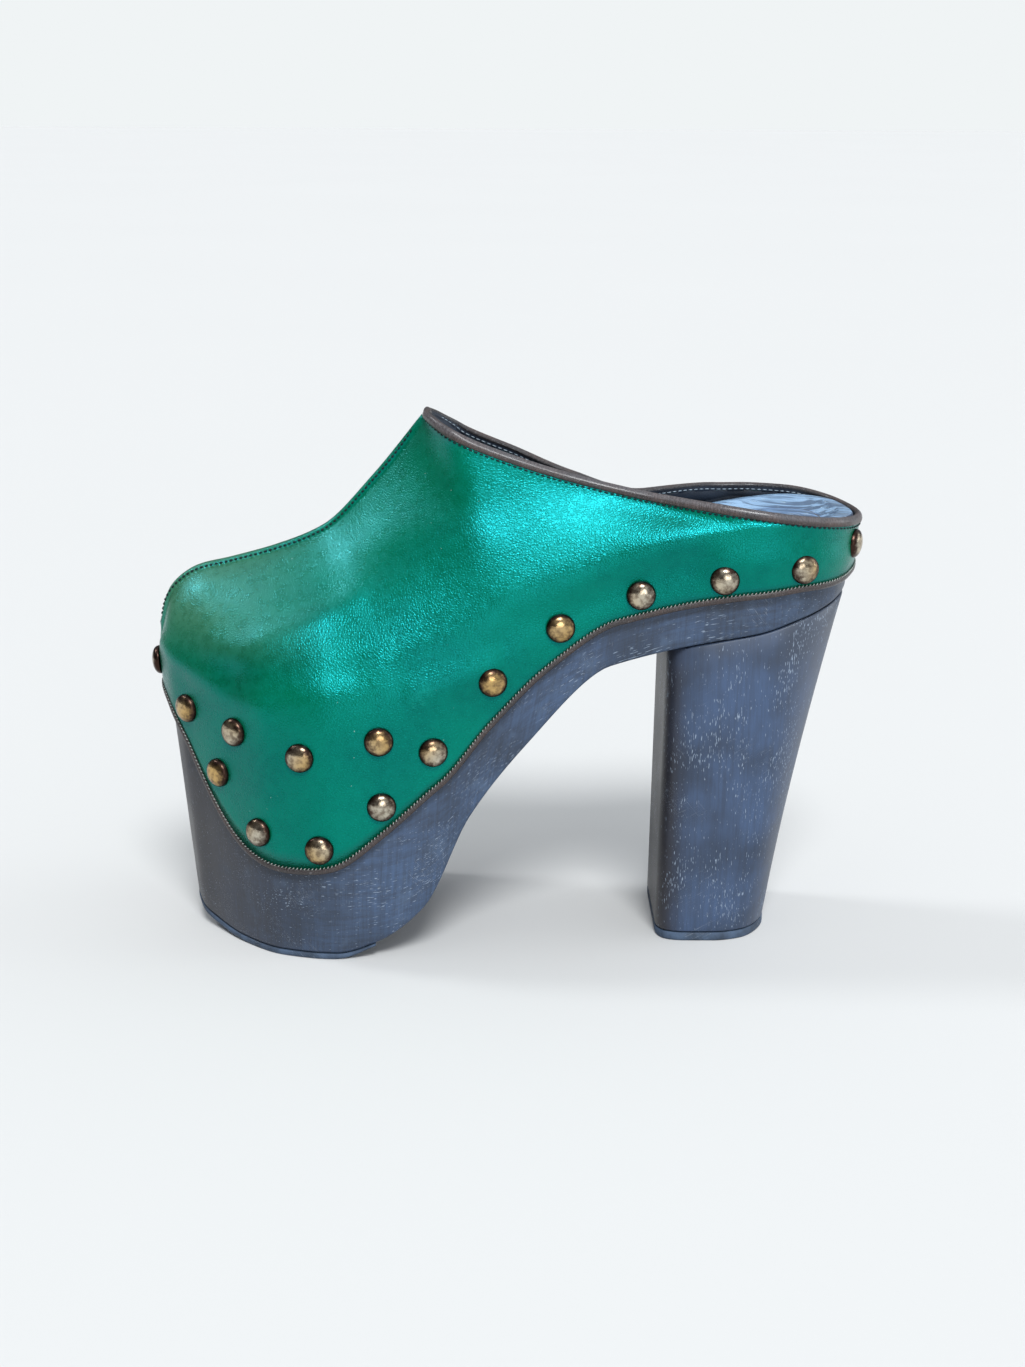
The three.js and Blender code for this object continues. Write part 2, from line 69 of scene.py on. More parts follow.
# x and footX are shares of the length, the widths of the ball width. rise runs from the platform's
# height to the seat's, and under is the underside's share of the height of the top edge.
wood = table("""x inner outer rise footX footInner footOuter under
-0.505 0 0 0.14 -0.468 0 0 0.08
-0.489 0.126 0.117 0.12 -0.457 0.11 0.104 0.052
-0.454 0.22 0.206 0.09 -0.428 0.205 0.192 0.022
-0.4 0.333 0.317 0.05 -0.384 0.333 0.315 0.004
-0.332 0.442 0.428 0.014 -0.325 0.45 0.43 0
-0.253 0.489 0.5 0 -0.253 0.494 0.5 0
-0.175 0.478 0.511 0.01 -0.192 0.48 0.49 0.05
-0.096 0.444 0.478 0.1 -0.122 0.455 0.47 0.189
-0.017 0.4 0.428 0.3 -0.057 0.41 0.42 0.461
0.066 0.366 0.386 0.54 0.026 0.37 0.376 0.612
0.157 0.341 0.356 0.75 0.142 0.336 0.341 0.746
0.253 0.341 0.351 0.88 0.245 0.336 0.341 0.75
0.345 0.346 0.351 0.955 0.341 0.346 0.346 0.757
0.419 0.312 0.312 0.99 0.414 0.307 0.307 0.781
0.473 0.2 0.2 0.995 0.466 0.192 0.192 0.81
0.496 0 0 0.98 0.487 0 0 0.825""")
LAST_ROW = len(wood["x"]) - 1
STATIONS = LAST_ROW * STEPS
BREAST_X = 49.4

# The measuring frame's origin in the row frame, from the heel block, which is built on the centre line
heel_low, heel_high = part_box("heel")
ORIGIN = np.array([heel_low.x * 1000 - BREAST_X, (heel_low.y + heel_high.y) * 500, 0])


# Value of a column between its rows, smooth and without overshoot. Past an end the column is mirrored
# ("even"), mirrored with its sign turned ("odd") or carried straight on ("open").
def between(column, at, ends):
    last = len(column) - 1

    def value(i):
        end = np.where(i < 0, 0, last)
        mirrored = column[np.clip(2 * end - i, 0, last)]
        outside = mirrored if ends == "even" else 2 * column[end] - mirrored
        return np.where((i >= 0) & (i <= last), column[np.clip(i, 0, last)], outside)

    def slope(i):
        before = value(i) - value(i - 1)
        after = value(i + 1) - value(i)
        same_way = before * after > 0
        return np.where(same_way, 2 * before * after / np.where(same_way, before + after, 1), 0)

    at = np.asarray(at, float)
    i = np.minimum(np.floor(at).astype(int), last - 1)
    t = at - i
    rise = value(i + 1) - value(i)
    m0 = slope(i)
    m1 = slope(i + 1)
    return value(i) + t * (m0 + t * (3 * rise - 2 * m0 - m1 + t * (m0 + m1 - 2 * rise)))


def points(x, y, z):
    return np.stack(np.broadcast_arrays(x, y, z), -1).astype(float)


def unit(vectors):
    return vectors / np.maximum(np.linalg.norm(vectors, axis=-1, keepdims=True), 1e-9)


def top_edge(side, at):
    rise = between(wood["rise"], at, "even")
    return points(
        between(wood["x"], at, "even") * SOLE_LENGTH,
        SIGN[side] * between(wood[side], at, "odd") * BALL_WIDTH,
        PLATFORM_HEIGHT + (SEAT_HEIGHT - PLATFORM_HEIGHT) * rise,
    )


def foot_edge(side, at):
    return points(
        between(wood["footX"], at, "even") * SOLE_LENGTH,
        SIGN[side] * between(wood["foot" + side.capitalize()], at, "odd") * BALL_WIDTH,
        between(wood["under"], at, "even") * top_edge(side, at)[..., 2],
    )


def tread_at(at):
    return TREAD + (TREAD_END - TREAD) * np.clip(at - TREAD_ROW + 1, 0, 1)


# The wood's lower edge, lifted off the tread where there is one
def lifted(side, at):
    foot = foot_edge(side, at)
    foot[..., 2] += (tread_at(at) + GAP) * np.clip(TREAD_ROW + 1 - at, 0, 1)
    return foot


# The nearest point of the sole's centre line, and a point moved towards it by a distance in plan
def spine_of(point):
    half = SOLE_LENGTH / 2 - BALL_WIDTH / 3
    return points(np.clip(point[..., 0], -half, half), 0, point[..., 2])


def inset(point, distance):
    spine = spine_of(point)
    reach = np.linalg.norm(point - spine, axis=-1, keepdims=True)
    return point + (spine - point) * np.minimum(distance / reach, 0.9)


# Distances along a line of points, and the points at given distances
def way_along(line):
    return np.concatenate([[0], np.cumsum(np.linalg.norm(np.diff(line, axis=0), axis=1))])


def points_at(line, way, where):
    return np.stack([np.interp(where, way, line[:, k]) for k in range(3)], -1)


# A ring of points round the sole, counter-clockwise from above: toe, inner side, heel, outer side
there = np.arange(STATIONS + 1) / STEPS
back_again = there[-2:0:-1]


def sole_ring(point):
    return np.concatenate([point("inner", there), point("outer", back_again)])


# Faces between closed rings of points, from a first point on
def bands(first, rings, count):
    return [(low + k, low + (k + 1) % count, low + count + (k + 1) % count, low + count + k)
            for low in range(first, first + (rings - 1) * count, count) for k in range(count)]


# Rings joined into a closed surface with a cap of strips below and above
def loft(rings):
    count = len(rings[0])
    faces = bands(0, len(rings), count)
    top = (len(rings) - 1) * count
    for k in range(count // 2):
        far = (count - k) % count
        loop = [k, k + 1, count - k - 1, far]
        loop = [v for j, v in enumerate(loop) if v not in loop[:j]]
        faces.append(tuple(reversed(loop)))
        faces.append(tuple(top + v for v in loop))
    return np.concatenate(rings), faces


# A named mesh in the row frame. marks holds values for each point that its material reads, and which says
# for each face which of the materials it has.
def new_piece(name, materials, slot, nodes, places, faces, marks=None, which=None):
    mesh = bpy.data.meshes.new(name)
    mesh.from_pydata((places + ORIGIN) / 1000, [], faces)
    for material in materials:
        mesh.materials.append(material)
    if which is not None:
        mesh.polygons.foreach_set("material_index", np.asarray(which, np.int32))
    for label, values in (marks or {}).items():
        kind = "FLOAT_VECTOR" if values.ndim > 1 else "FLOAT"
        mark = mesh.attributes.new(label, kind, "POINT")
        mark.data.foreach_set("vector" if values.ndim > 1 else "value", values.astype(np.float32).ravel())
    mesh.shade_smooth()
    made = bpy.data.objects.new(name, mesh)
    bpy.context.scene.collection.objects.link(made)
    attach(made, "root")
    if nodes:
        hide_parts(*nodes)


# A colour as it is read off a screen, from 0 to 255, turned into the shader's linear values
def shade(red, green, blue):
    def linear(value):
        value /= 255
        return value / 12.92 if value <= 0.04045 else ((value + 0.055) / 1.055) ** 2.4

    return (linear(red), linear(green), linear(blue), 1)


# A value or another node's output goes into a socket. Where no tree is given, a new node joins the tree of
# the sockets that it takes.
def put(socket, value):
    if isinstance(value, bpy.types.NodeSocket):
        socket.id_data.links.new(value, socket)
    else:
        socket.default_value = value


def add(tree, kind, settings, *values, **named):
    made = tree.nodes.new("ShaderNode" + kind)
    for key, value in settings.items():
        setattr(made, key, value)
    for socket, value in zip(made.inputs, values):
        put(socket, value)
    for key, value in named.items():
        put(made.inputs[key.replace("_", " ")], value)
    return made


def maths(operation, *values):
    tree = next(value.id_data for value in values if isinstance(value, bpy.types.NodeSocket))
    return add(tree, "Math", {"operation": operation}, *values).outputs[0]


def times(*values):
    return maths("MULTIPLY", *values)


def plus(*values):
    return maths("ADD", *values)


def minus(*values):
    return maths("SUBTRACT", *values)


def scaled(vector, by):
    return add(vector.id_data, "VectorMath", {"operation": "MULTIPLY"}, vector, by).outputs[0]


def moved_by(vector, way):
    return add(vector.id_data, "VectorMath", {"operation": "ADD"}, vector, way).outputs[0]


def turned_by(vector, axis, angle):
    made = add(vector.id_data, "VectorRotate", {"rotation_type": axis}, Vector=vector, Angle=angle)
    return made.outputs[0]


def cloud(vector, size, detail=3, rough=0.5):
    made = add(vector.id_data, "TexNoise", {}, Vector=vector, Scale=1 / size, Detail=detail, Roughness=rough)
    return made.outputs["Fac"]


def span(value, low, high, to_low=0.0, to_high=1.0):
    smooth = {"interpolation_type": "SMOOTHSTEP"}
    return add(value.id_data, "MapRange", smooth, value, low, high, to_low, to_high).outputs[0]


def parts_of(vector):
    return add(vector.id_data, "SeparateXYZ", {}, vector).outputs


def mixed(share, one, other):
    made = add(share.id_data, "Mix", {"data_type": "RGBA"}, share)
    put(made.inputs[6], one)
    put(made.inputs[7], other)
    return made.outputs[2]


# A colour between two shades, and layers over it, each as its share and its shade
def layered(share, dark, light, *layers):
    colour = mixed(share, shade(*dark), shade(*light))
    for part, tone in layers:
        colour = mixed(part, colour, shade(*tone))
    return colour


# A material with its constants, and the place on the piece in millimetres
def new_material(name, **constants):
    material = bpy.data.materials.new(name)
    material.use_nodes = True
    shader = material.node_tree.nodes["Principled BSDF"]
    for key, value in constants.items():
        shader.inputs[key.replace("_", " ")].default_value = value
    metres = add(material.node_tree, "TexCoord", {}).outputs["Object"]
    return material, scaled(metres, (1000, 1000, 1000))


# A mark that the mesh carries, in the tree that has the place
def mark_of(place, label, output="Fac"):
    return add(place.id_data, "Attribute", {"attribute_name": label}).outputs[output]


# The last step of a material: colour, roughness, a surface that is uneven by a depth in millimetres, and
# what else it has
def cover(material, colour, rough, height, depth, strength, **others):
    tree = material.node_tree
    bump = add(tree, "Bump", {}, Strength=strength, Distance=depth / 1000, Height=height)
    sockets = {"Base Color": colour, "Roughness": rough, "Normal": bump.outputs["Normal"], **others}
    for label, value in sockets.items():
        put(tree.nodes["Principled BSDF"].inputs[label.replace("_", " ")], value)
    return material


# A group of nodes with its inputs, each a number or else a vector, and its outputs
def new_group(name, inputs, outputs):
    group = bpy.data.node_groups.new(name, "ShaderNodeTree")
    for label, value in inputs.items():
        kind = "NodeSocketFloat" if isinstance(value, float) else "NodeSocketVector"
        group.interface.new_socket(label, in_out="INPUT", socket_type=kind).default_value = value
    for label in outputs:
        group.interface.new_socket(label, in_out="OUTPUT", socket_type="NodeSocketFloat")
    inlet = group.nodes.new("NodeGroupInput")
    outlet = group.nodes.new("NodeGroupOutput")
    return group, inlet.outputs, outlet.inputs


def placed(group, place, **named):
    return add(place.id_data, "Group", {"node_tree": group}, Place=place, **named).outputs


# Wood: long streaks of stain, and short light flecks where its pores have stayed open. Place is in
# millimetres with its first axis along the grain.
def wood_grain_group():
    group, given, result = new_group(
        "wood grain", {"Place": (0, 0, 0), "Fleck length": 3.5, "Fleck amount": 0.5},
        ("Streak", "Fleck", "Height"))
    place = given["Place"]
    streak = cloud(scaled(place, (0.035, 0.8, 0.8)), 1, 4, 0.6)
    fine = cloud(scaled(place, (0.12, 3.2, 3.2)), 1, 2)
    apart = parts_of(place)
    pores = add(group, "CombineXYZ", {}, maths("DIVIDE", apart[0], given["Fleck length"]),
                times(apart[1], 3), times(apart[2], 3)).outputs[0]
    patch = cloud(scaled(place, (0.04, 0.08, 0.08)), 1, 2)
    least = minus(0.9, times(given["Fleck amount"], span(patch, 0.35, 0.7, 0.3, 0.48)))
    fleck = span(minus(cloud(pores, 1, 1, 0.4), least), 0, 0.06)
    put(result["Streak"], plus(times(streak, 0.7), times(fine, 0.3)))
    put(result["Fleck"], fleck)
    put(result["Height"], minus(times(fine, 0.35), times(fleck, 0.8)))
    return group


# Thin scratches in two slanting directions, few and broken
def scratch_group():
    group, given, result = new_group("scratches", {"Place": (0, 0, 0), "Amount": 0.5}, ("Mask",))
    masks = []
    for turn, aside in ((0.5, (3, 3, 3)), (-0.9, (17, 17, 17))):
        moved = moved_by(turned_by(given["Place"], "Y_AXIS", turn), aside)
        line = cloud(scaled(moved, (0.05, 0.6, 1.9)), 1, 1, 0.4)
        thin = span(maths("ABSOLUTE", minus(line, 0.5)), 0, 0.008, 1, 0)
        masks.append(times(thin, span(cloud(moved, 16, 1), 0.6, 0.66)))
    put(result["Mask"], times(maths("MAXIMUM", *masks), given["Amount"]))
    return group


wood_grain = wood_grain_group()
scratches = scratch_group()
WOOD_GRAIN_DEPTH = 0.12


def stained_wood():
    material, place = new_material("stained wood", Specular_IOR_Level=0.4, Coat_Roughness=0.35)
    along = parts_of(place)[0]
    grain = placed(wood_grain, mark_of(place, "grain", "Vector"), Fleck_length=2.6, Fleck_amount=0.56)
    upright = placed(wood_grain, mark_of(place, "upright", "Vector"), Fleck_length=1.8, Fleck_amount=0.5)
    scratch = placed(scratches, place, Amount=0.7)["Mask"]
    tone = cloud(place, 26, 3, 0.55)
    streaks = plus(times(grain["Streak"], 0.5), times(upright["Streak"], 0.5))
    worn = span(cloud(place, 9, 4, 0.6), 0.52, 0.75, 0, 0.3)
    colour = layered(
        span(tone, 0.3, 0.72), (47, 62, 84), (64, 86, 118),
        (span(streaks, 0.38, 0.62, 0.6, 0), (34, 40, 50)),
        (worn, (96, 116, 142)),
        # Darker and greyer towards the toe: painted shade on the toe's end, which faces away from the light
        (span(along, -112, -50, 0.9, 0), (46, 43, 43)),
        (times(upright["Fleck"], 0.35), (112, 122, 136)),
        (times(grain["Fleck"], 0.75), (140, 156, 176)),
        (scratch, (140, 152, 168)),
    )
    return cover(material, colour, span(tone, 0.2, 0.8, 0.42, 0.6),
                 minus(plus(grain["Height"], upright["Height"]), scratch), WOOD_GRAIN_DEPTH, 0.7,
                 Coat_Weight=span(worn, 0, 0.35, 0.22, 0.05))


# The foot bed's stain is paler and bluer, with fine streaks that run slantwise and a brown line of glue
# and dirt in the groove inside the rim
def foot_bed_wood():
    material, place = new_material("foot bed", Specular_IOR_Level=0.45, Coat_Roughness=0.3)
    turned = turned_by(place, "Z_AXIS", 0.5)
    grain = placed(wood_grain, turned, Fleck_length=4.0, Fleck_amount=0.62)
    hatch = cloud(scaled(turned, (0.03, 0.6, 0.6)), 1, 4, 0.6)
    tone = cloud(place, 18)
    groove = times(span(mark_of(place, "groove"), 0.2, 0.9),
                   span(cloud(place, 4, 3, 0.6), 0.3, 0.6, 0.35, 0.95))
    colour = layered(
        span(tone, 0.3, 0.7), (98, 128, 166), (126, 160, 198),
        # The rim and the top of the dish's wall are paler: a painted highlight on the raised rim
        (times(mark_of(place, "rim"), 0.6), (150, 184, 214)),
        (span(hatch, 0.42, 0.57, 0.8, 0), (54, 72, 98)),
        (times(grain["Fleck"], 0.8), (196, 220, 236)),
        (groove, (78, 66, 56)),
    )
    return cover(material, colour, span(grain["Streak"], 0.3, 0.7, 0.36, 0.52),
                 plus(grain["Height"], hatch), 0.3, 0.8,
                 Coat_Weight=span(tone, 0.3, 0.7, 0.15, 0.3))


# Rounding of an edge of the wood as steps of inset and height
ROUNDING_STEPS = 4


def rounding(radius, steps=ROUNDING_STEPS):
    turns = np.linspace(0, math.pi / 2, steps)
    return [(radius * (1 - math.sin(turn)), radius * (1 - math.cos(turn))) for turn in turns]


# The foot bed goes down from the rim, with a groove inside it: shares of the way to the centre line and of
# the depth
dish = table("""inward deep
0.03 0.14
0.07 0.36
0.12 0.62
0.17 0.82
0.2 0.93
0.22 0.98
0.25 0.92
0.32 0.9
0.45 0.94
0.6 0.97
0.75 1
0.88 1""")
GROOVE_ROW = 5
WALL_LEVELS = 14
CARVING = (0.12, 0.16)
CARVING_WIDTH = 22


def sole_mesh():
    def wall(side, at, height):
        foot = lifted(side, at)
        top = top_edge(side, at)
        share = height / (top[..., 2] - foot[..., 2])
        return foot + (top - foot) * share[..., None]

    def side_height(side, at):
        return top_edge(side, at)[..., 2] - lifted(side, at)[..., 2]

    rings = []
    for aside, up in rounding(WOOD_ROUNDING):
        rings.append(sole_ring(lambda side, at: inset(wall(side, at, up), aside)))
    for share in np.linspace(0, 1, WALL_LEVELS)[1:-1]:
        def level(side, at):
            height = side_height(side, at)
            return wall(side, at, WOOD_ROUNDING + share * (height - 2 * WOOD_ROUNDING))
        rings.append(sole_ring(level))
    for aside, up in reversed(rounding(WOOD_ROUNDING)):
        rings.append(sole_ring(lambda side, at: inset(wall(side, at, side_height(side, at) - up), aside)))
    outside = len(rings)
    for share in (0.5, 1.0):
        rings.append(sole_ring(
            lambda side, at: inset(top_edge(side, at), WOOD_ROUNDING + share * (RIM_WIDTH - WOOD_ROUNDING))))
    for inward, deep in zip(dish["inward"], dish["deep"]):
        def bowl(side, at):
            rim = inset(top_edge(side, at), RIM_WIDTH)
            point = rim + (spine_of(top_edge(side, at)) - rim) * inward
            point[..., 2] -= deep * DISH_DEPTH
            return point
        rings.append(sole_ring(bowl))
    places, faces = loft(rings)
    count = len(rings[0])
    edge = sole_ring(top_edge)
    inner_way = way_along(edge[:STATIONS + 1])
    along = np.tile(np.concatenate([inner_way, inner_way[-2:0:-1]]), len(rings))
    down = np.tile(edge[:, 2], len(rings)) - places[:, 2]
    groove = np.zeros(len(places))
    groove_ring = outside + 2 + GROOVE_ROW
    groove[groove_ring * count:(groove_ring + 1) * count] = 1
    # rim covers the rim and the top of the dish's wall, which the foot bed's colour paints paler as a
    # highlight
    rim = np.zeros(len(places))
    rim[(outside - 2) * count:(groove_ring - 1) * count] = 1
    marks = {
        "grain": points(along, down, places[:, 1]),
        "upright": points(places[:, 2], along, places[:, 1]),
        "groove": groove,
        "rim": rim,
    }
    band_faces = (len(rings) - 1) * count
    which = np.zeros(len(faces), int)
    which[(outside - 2) * count:band_faces] = 1
    which[band_faces + 1::2] = 1
    # Hand carving leaves the sides a little uneven
    for k in range(ROUNDING_STEPS * count, (outside - ROUNDING_STEPS) * count):
        spot = Vector(places[k]) / CARVING_WIDTH
        places[k, 0] += CARVING[0] * noise.noise(spot + Vector((7, 0, 3)))
        places[k, 1] += CARVING[1] * noise.noise(spot)
    return places, faces, marks, which


new_piece("carved_sole", [stained_wood(), foot_bed_wood()], "wood", ["sole"], *sole_mesh())

# The heel is a separate block of the same wood, glued under the seat board. Its grain stands upright,
# its back flares out towards the board, its front face has painted shade and its back a painted highlight.
BREAST_LEAN = 1.8
HEEL_FOOT_LENGTH = 38.4
HEEL_FOOT_WIDTH = 54
HEEL_TOP_INSET = 0.8
HEEL_ROUNDING = 0.7
HEEL_TOP_ROUNDING = 0.5
HEEL_FLARE_AT_FOOT = 0.66
TOP_LIFT = 2.8
WOOD_GAP = 0.4
SEAT_ROW = 12
HEEL_STEPS = 8
HEEL_LEVELS = 16
heel_outline = table("""along out
0 0
0 0.66
0.06 0.92
0.24 1
0.5 1
0.74 0.9
0.9 0.64
0.98 0.33
1 0""")


def underside(x):
    foot = foot_edge("inner", there)
    return np.interp(x, foot[:, 0], foot[:, 2])


def heel_ring(t, aside=0.0):
    top_back = foot_edge("inner", LAST_ROW)[0] - HEEL_TOP_INSET
    front = BREAST_X + BREAST_LEAN * t
    flare = t * (HEEL_FLARE_AT_FOOT + (1 - HEEL_FLARE_AT_FOOT) * t)
    back = BREAST_X + HEEL_FOOT_LENGTH + (top_back - BREAST_X - HEEL_FOOT_LENGTH) * flare
    top_width = between(wood["footInner"], SEAT_ROW, "odd") * BALL_WIDTH - HEEL_TOP_INSET
    half_width = HEEL_FOOT_WIDTH / 2 + (top_width - HEEL_FOOT_WIDTH / 2) * t
    half = (len(heel_outline["along"]) - 1) * HEEL_STEPS
    k = np.arange(2 * half)
    at = np.where(k <= half, k, 2 * half - k) / HEEL_STEPS
    sign = np.where(k <= half, -1, 1)
    middle = (front + back) / 2
    x = front + (back - front) * between(heel_outline["along"], at, "even")
    y = sign * half_width * between(heel_outline["out"], at, "odd")
    shrink = 1 - aside / half_width
    return middle + (x - middle) * shrink, y * shrink


def heel_mesh():
    foot = TOP_LIFT + GAP
    rings = []
    for aside, up in rounding(HEEL_ROUNDING, 3):
        x, y = heel_ring(0, aside)
        rings.append(points(x, y, foot + up))
    for t in np.linspace(0, 1, HEEL_LEVELS)[1:]:
        x, y = heel_ring(t)
        top = underside(x) - WOOD_GAP - HEEL_TOP_ROUNDING
        rings.append(points(x, y, foot + (top - foot) * t))
    x, y = heel_ring(1, HEEL_TOP_ROUNDING)
    rings.append(points(x, y, underside(x) - WOOD_GAP))
    return loft(rings)


def heel_wood():
    material, place = new_material("heel wood", Specular_IOR_Level=0.4, Coat_Roughness=0.35)
    along, across, up = parts_of(place)
    upright = add(place.id_data, "CombineXYZ", {}, up, along, across).outputs[0]
    grain = placed(wood_grain, upright, Fleck_length=1.9, Fleck_amount=0.6)
    scratch = placed(scratches, place, Amount=0.5)["Mask"]
    tone = cloud(place, 24, 3, 0.55)
    front = BREAST_X + ORIGIN[0]
    colour = layered(
        span(tone, 0.3, 0.7), (46, 60, 82), (62, 84, 118),
        (span(grain["Streak"], 0.36, 0.6, 0.35, 0), (38, 46, 60)),
        # The front face is darker: painted shade, as it faces away from the light
        (span(along, front + 1, front + 11, 0.9, 0), (38, 34, 35)),
        # The back is paler: painted light on the side that faces the light from the right
        (span(along, 84, 108, 0, 0.55), (86, 92, 104)),
        (span(up, 84, 112, 0, 0.35), (66, 72, 82)),
        (times(grain["Fleck"], 0.8), (148, 164, 184)),
        (scratch, (136, 150, 168)),
    )
    return cover(material, colour, span(tone, 0.2, 0.8, 0.4, 0.58),
                 minus(grain["Height"], scratch), WOOD_GRAIN_DEPTH, 0.7,
                 Coat_Weight=span(tone, 0.3, 0.7, 0.1, 0.25))


new_piece("heel_block", [heel_wood()], "wood", ["heel"], *heel_mesh())


# Both treads are thin sheets of grey-blue rubber, glued on and trimmed flush with the wood: one under
# the forefoot, which follows the toe spring, and one under the heel. Their edges are scuffed.
def tread_rubber():
    material, place = new_material("tread rubber", Specular_IOR_Level=0.35)
    tone = cloud(place, 7, 4, 0.6)
    speck = cloud(place, 0.5, 2, 0.6)
    colour = layered(
        span(tone, 0.3, 0.7), (48, 60, 76), (76, 94, 118),
        (span(speck, 0.6, 0.72, 0, 0.4), (44, 48, 54)),
        (placed(scratches, place, Amount=0.6)["Mask"], (160, 170, 182)),
    )
    return cover(material, colour, span(tone, 0.3, 0.7, 0.6, 0.78), speck, 0.1, 0.5)


def outsole_mesh():
    last = TREAD_ROW * STEPS
    way = np.arange(last + 1) / STEPS
    rings = []
    for aside, share in ((0.5, 0), (0.15, 0.2), (0, 0.5), (0, 0.85), (0.1, 1)):
        def ring_of(side, at):
            foot = foot_edge(side, at)
            foot[..., 2] += tread_at(at) * share
            return inset(foot, aside)
        inner = ring_of("inner", way)
        middle = inner[-1] * np.array([1, 0, 1])
        rings.append(np.concatenate([inner, [middle], ring_of("outer", way[:0:-1])]))
    return loft(rings)


def top_lift_mesh():
    rings = []
    for aside, height in ((0.5, 0), (0.1, 0.35), (0, 0.8), (0, TOP_LIFT - 0.3), (0.2, TOP_LIFT)):
        x, y = heel_ring(0, aside)
        rings.append(points(x, y, height))
    return loft(rings)


rubber = tread_rubber()
new_piece("forefoot_tread_sheet", [rubber], "tread", ["outsole"], *outsole_mesh())
new_piece("heel_tread_sheet", [rubber], "tread", ["top_lift"], *top_lift_mesh())

# The upper is two pieces of green leather, lined in dark blue-grey, joined in a raised seam down the
# vamp and pulled over the edge of the wood, so it has a soft fold all round. It is open at the back.
WALL = 1.8
THROAT_HEIGHT = 173
FOLD_RISE = 0.8
SEAM_HALF_WIDTH = 2.3
SEAM_HEIGHT = 1.1
SEAM_FLANK = 1.1
SEAM_GROOVE = 0.25
SEAM_END = 7
COLLAR_BINDING_HEIGHT = 3.6
FLAP_COLUMNS = 9
CROWN_COLUMNS = 28
CURVE_POINTS = 90
EDGE_EASE = np.linspace(-0.45, 0.45, 7)
SEAM_COLUMNS = np.array([3.2, 2.6, 2.2, 1.8, 1.4, 1.0, 0.6, 0.25, 0])
# A row of ribs says where the leather ends, as a share of the way down the wood's side, and how its curve
# leaves the fold and meets its top. The ridge runs up to the throat, and the collar goes on to the back:
# along is a share of the way there, In of the half width and Rise of the height from the seat to the throat.
ribs = table("""edge climb lean spread drop
0.103 0.4 0 0 0.4
0.151 0.5 0.03 0.5 0.14
0.326 0.46 0.07 0.52 0.12
0.552 0.4 0.09 0.54 0.14
0.633 0.36 0.1 0.54 0.2
0.619 0.34 0.09 0.52 0.26
0.51 0.32 0.06 0.46 0.3
0.415 0.3 0.03 0.42 0.3
0.436 0.34 0.02 0.34 0.36
0.411 0.34 0.02 0.3 0.4
0.523 0.36 0.02 0.26 0.4
0.557 0.36 0 0.2 0.4
0.587 0.34 0 0 0.34
0.64 0.34 0 0 0.34
0.707 0.34 0 0 0.34
0.659 0.34 0 0 0.34""")
ridge = table("""x rise
-0.508 0.221
-0.493 0.343
-0.454 0.426
-0.402 0.46
-0.336 0.509
-0.269 0.584
-0.197 0.772
-0.125 1""")
collar = table("""along innerIn outerIn innerRise outerRise
0 1 1 1 1
0.063 0.6 0.62 0.83 0.78
0.205 0.47 0.47 0.57 0.48
0.343 0.39 0.38 0.375 0.2
0.51 0.26 0.24 0.2 -0.02
0.69 0.05 0.02 0.085 -0.01
0.849 0 0 -0.02 -0.02
0.96 0 0 -0.09 -0.09
1 0 0 -0.13 -0.13""")
THROAT_ROW = len(ridge["x"]) - 1
THROAT = THROAT_ROW * STEPS


def outward(side, at):
    at = np.asarray(at, float)
    step = 0.05
    along = top_edge(side, np.minimum(at + step, LAST_ROW)) - top_edge(side, np.maximum(at - step, 0))
    away = unit(points(along[..., 1], -along[..., 0], 0) * -SIGN[side])
    away[at < step] = (-1, 0, 0)
    away[at > LAST_ROW - step] = (1, 0, 0)
    return away


def leather_edge(side, at):
    return top_edge(side, at) + outward(side, at) * (WOOD_GAP + WALL)


# The top of a rib: on the ridge in front of the throat, on the collar behind it
def rib_top(side, at):
    at = np.atleast_1d(at)
    front = np.minimum(at, THROAT_ROW)
    rise = between(ridge["rise"], front, "open")
    top = points(
        between(ridge["x"], front, "open") * SOLE_LENGTH,
        0,
        PLATFORM_HEIGHT + (THROAT_HEIGHT - PLATFORM_HEIGHT) * rise,
    )
    behind = at > THROAT_ROW
    if behind.any():
        back = at[behind] - THROAT_ROW
        everywhere = np.linspace(0, LAST_ROW, 1500)
        edges = leather_edge(side, everywhere)
        start = ridge["x"][-1] * SOLE_LENGTH
        x = start + (edges[-1, 0] - start) * between(collar["along"], back, "even")
        place = leather_edge(side, np.interp(x, np.maximum.accumulate(edges[:, 0]), everywhere))
        place[:, 1] *= 1 - between(collar[side + "In"], back, "open")
        rise = between(collar[side + "Rise"], back, "even")
        place[:, 2] = SEAT_HEIGHT + (THROAT_HEIGHT - SEAT_HEIGHT) * rise
        top[behind] = place
    return top


def on_side(side, at, down):
    top = top_edge(side, at)
    return top + (foot_edge(side, at) - top) * np.asarray(down)[..., None]


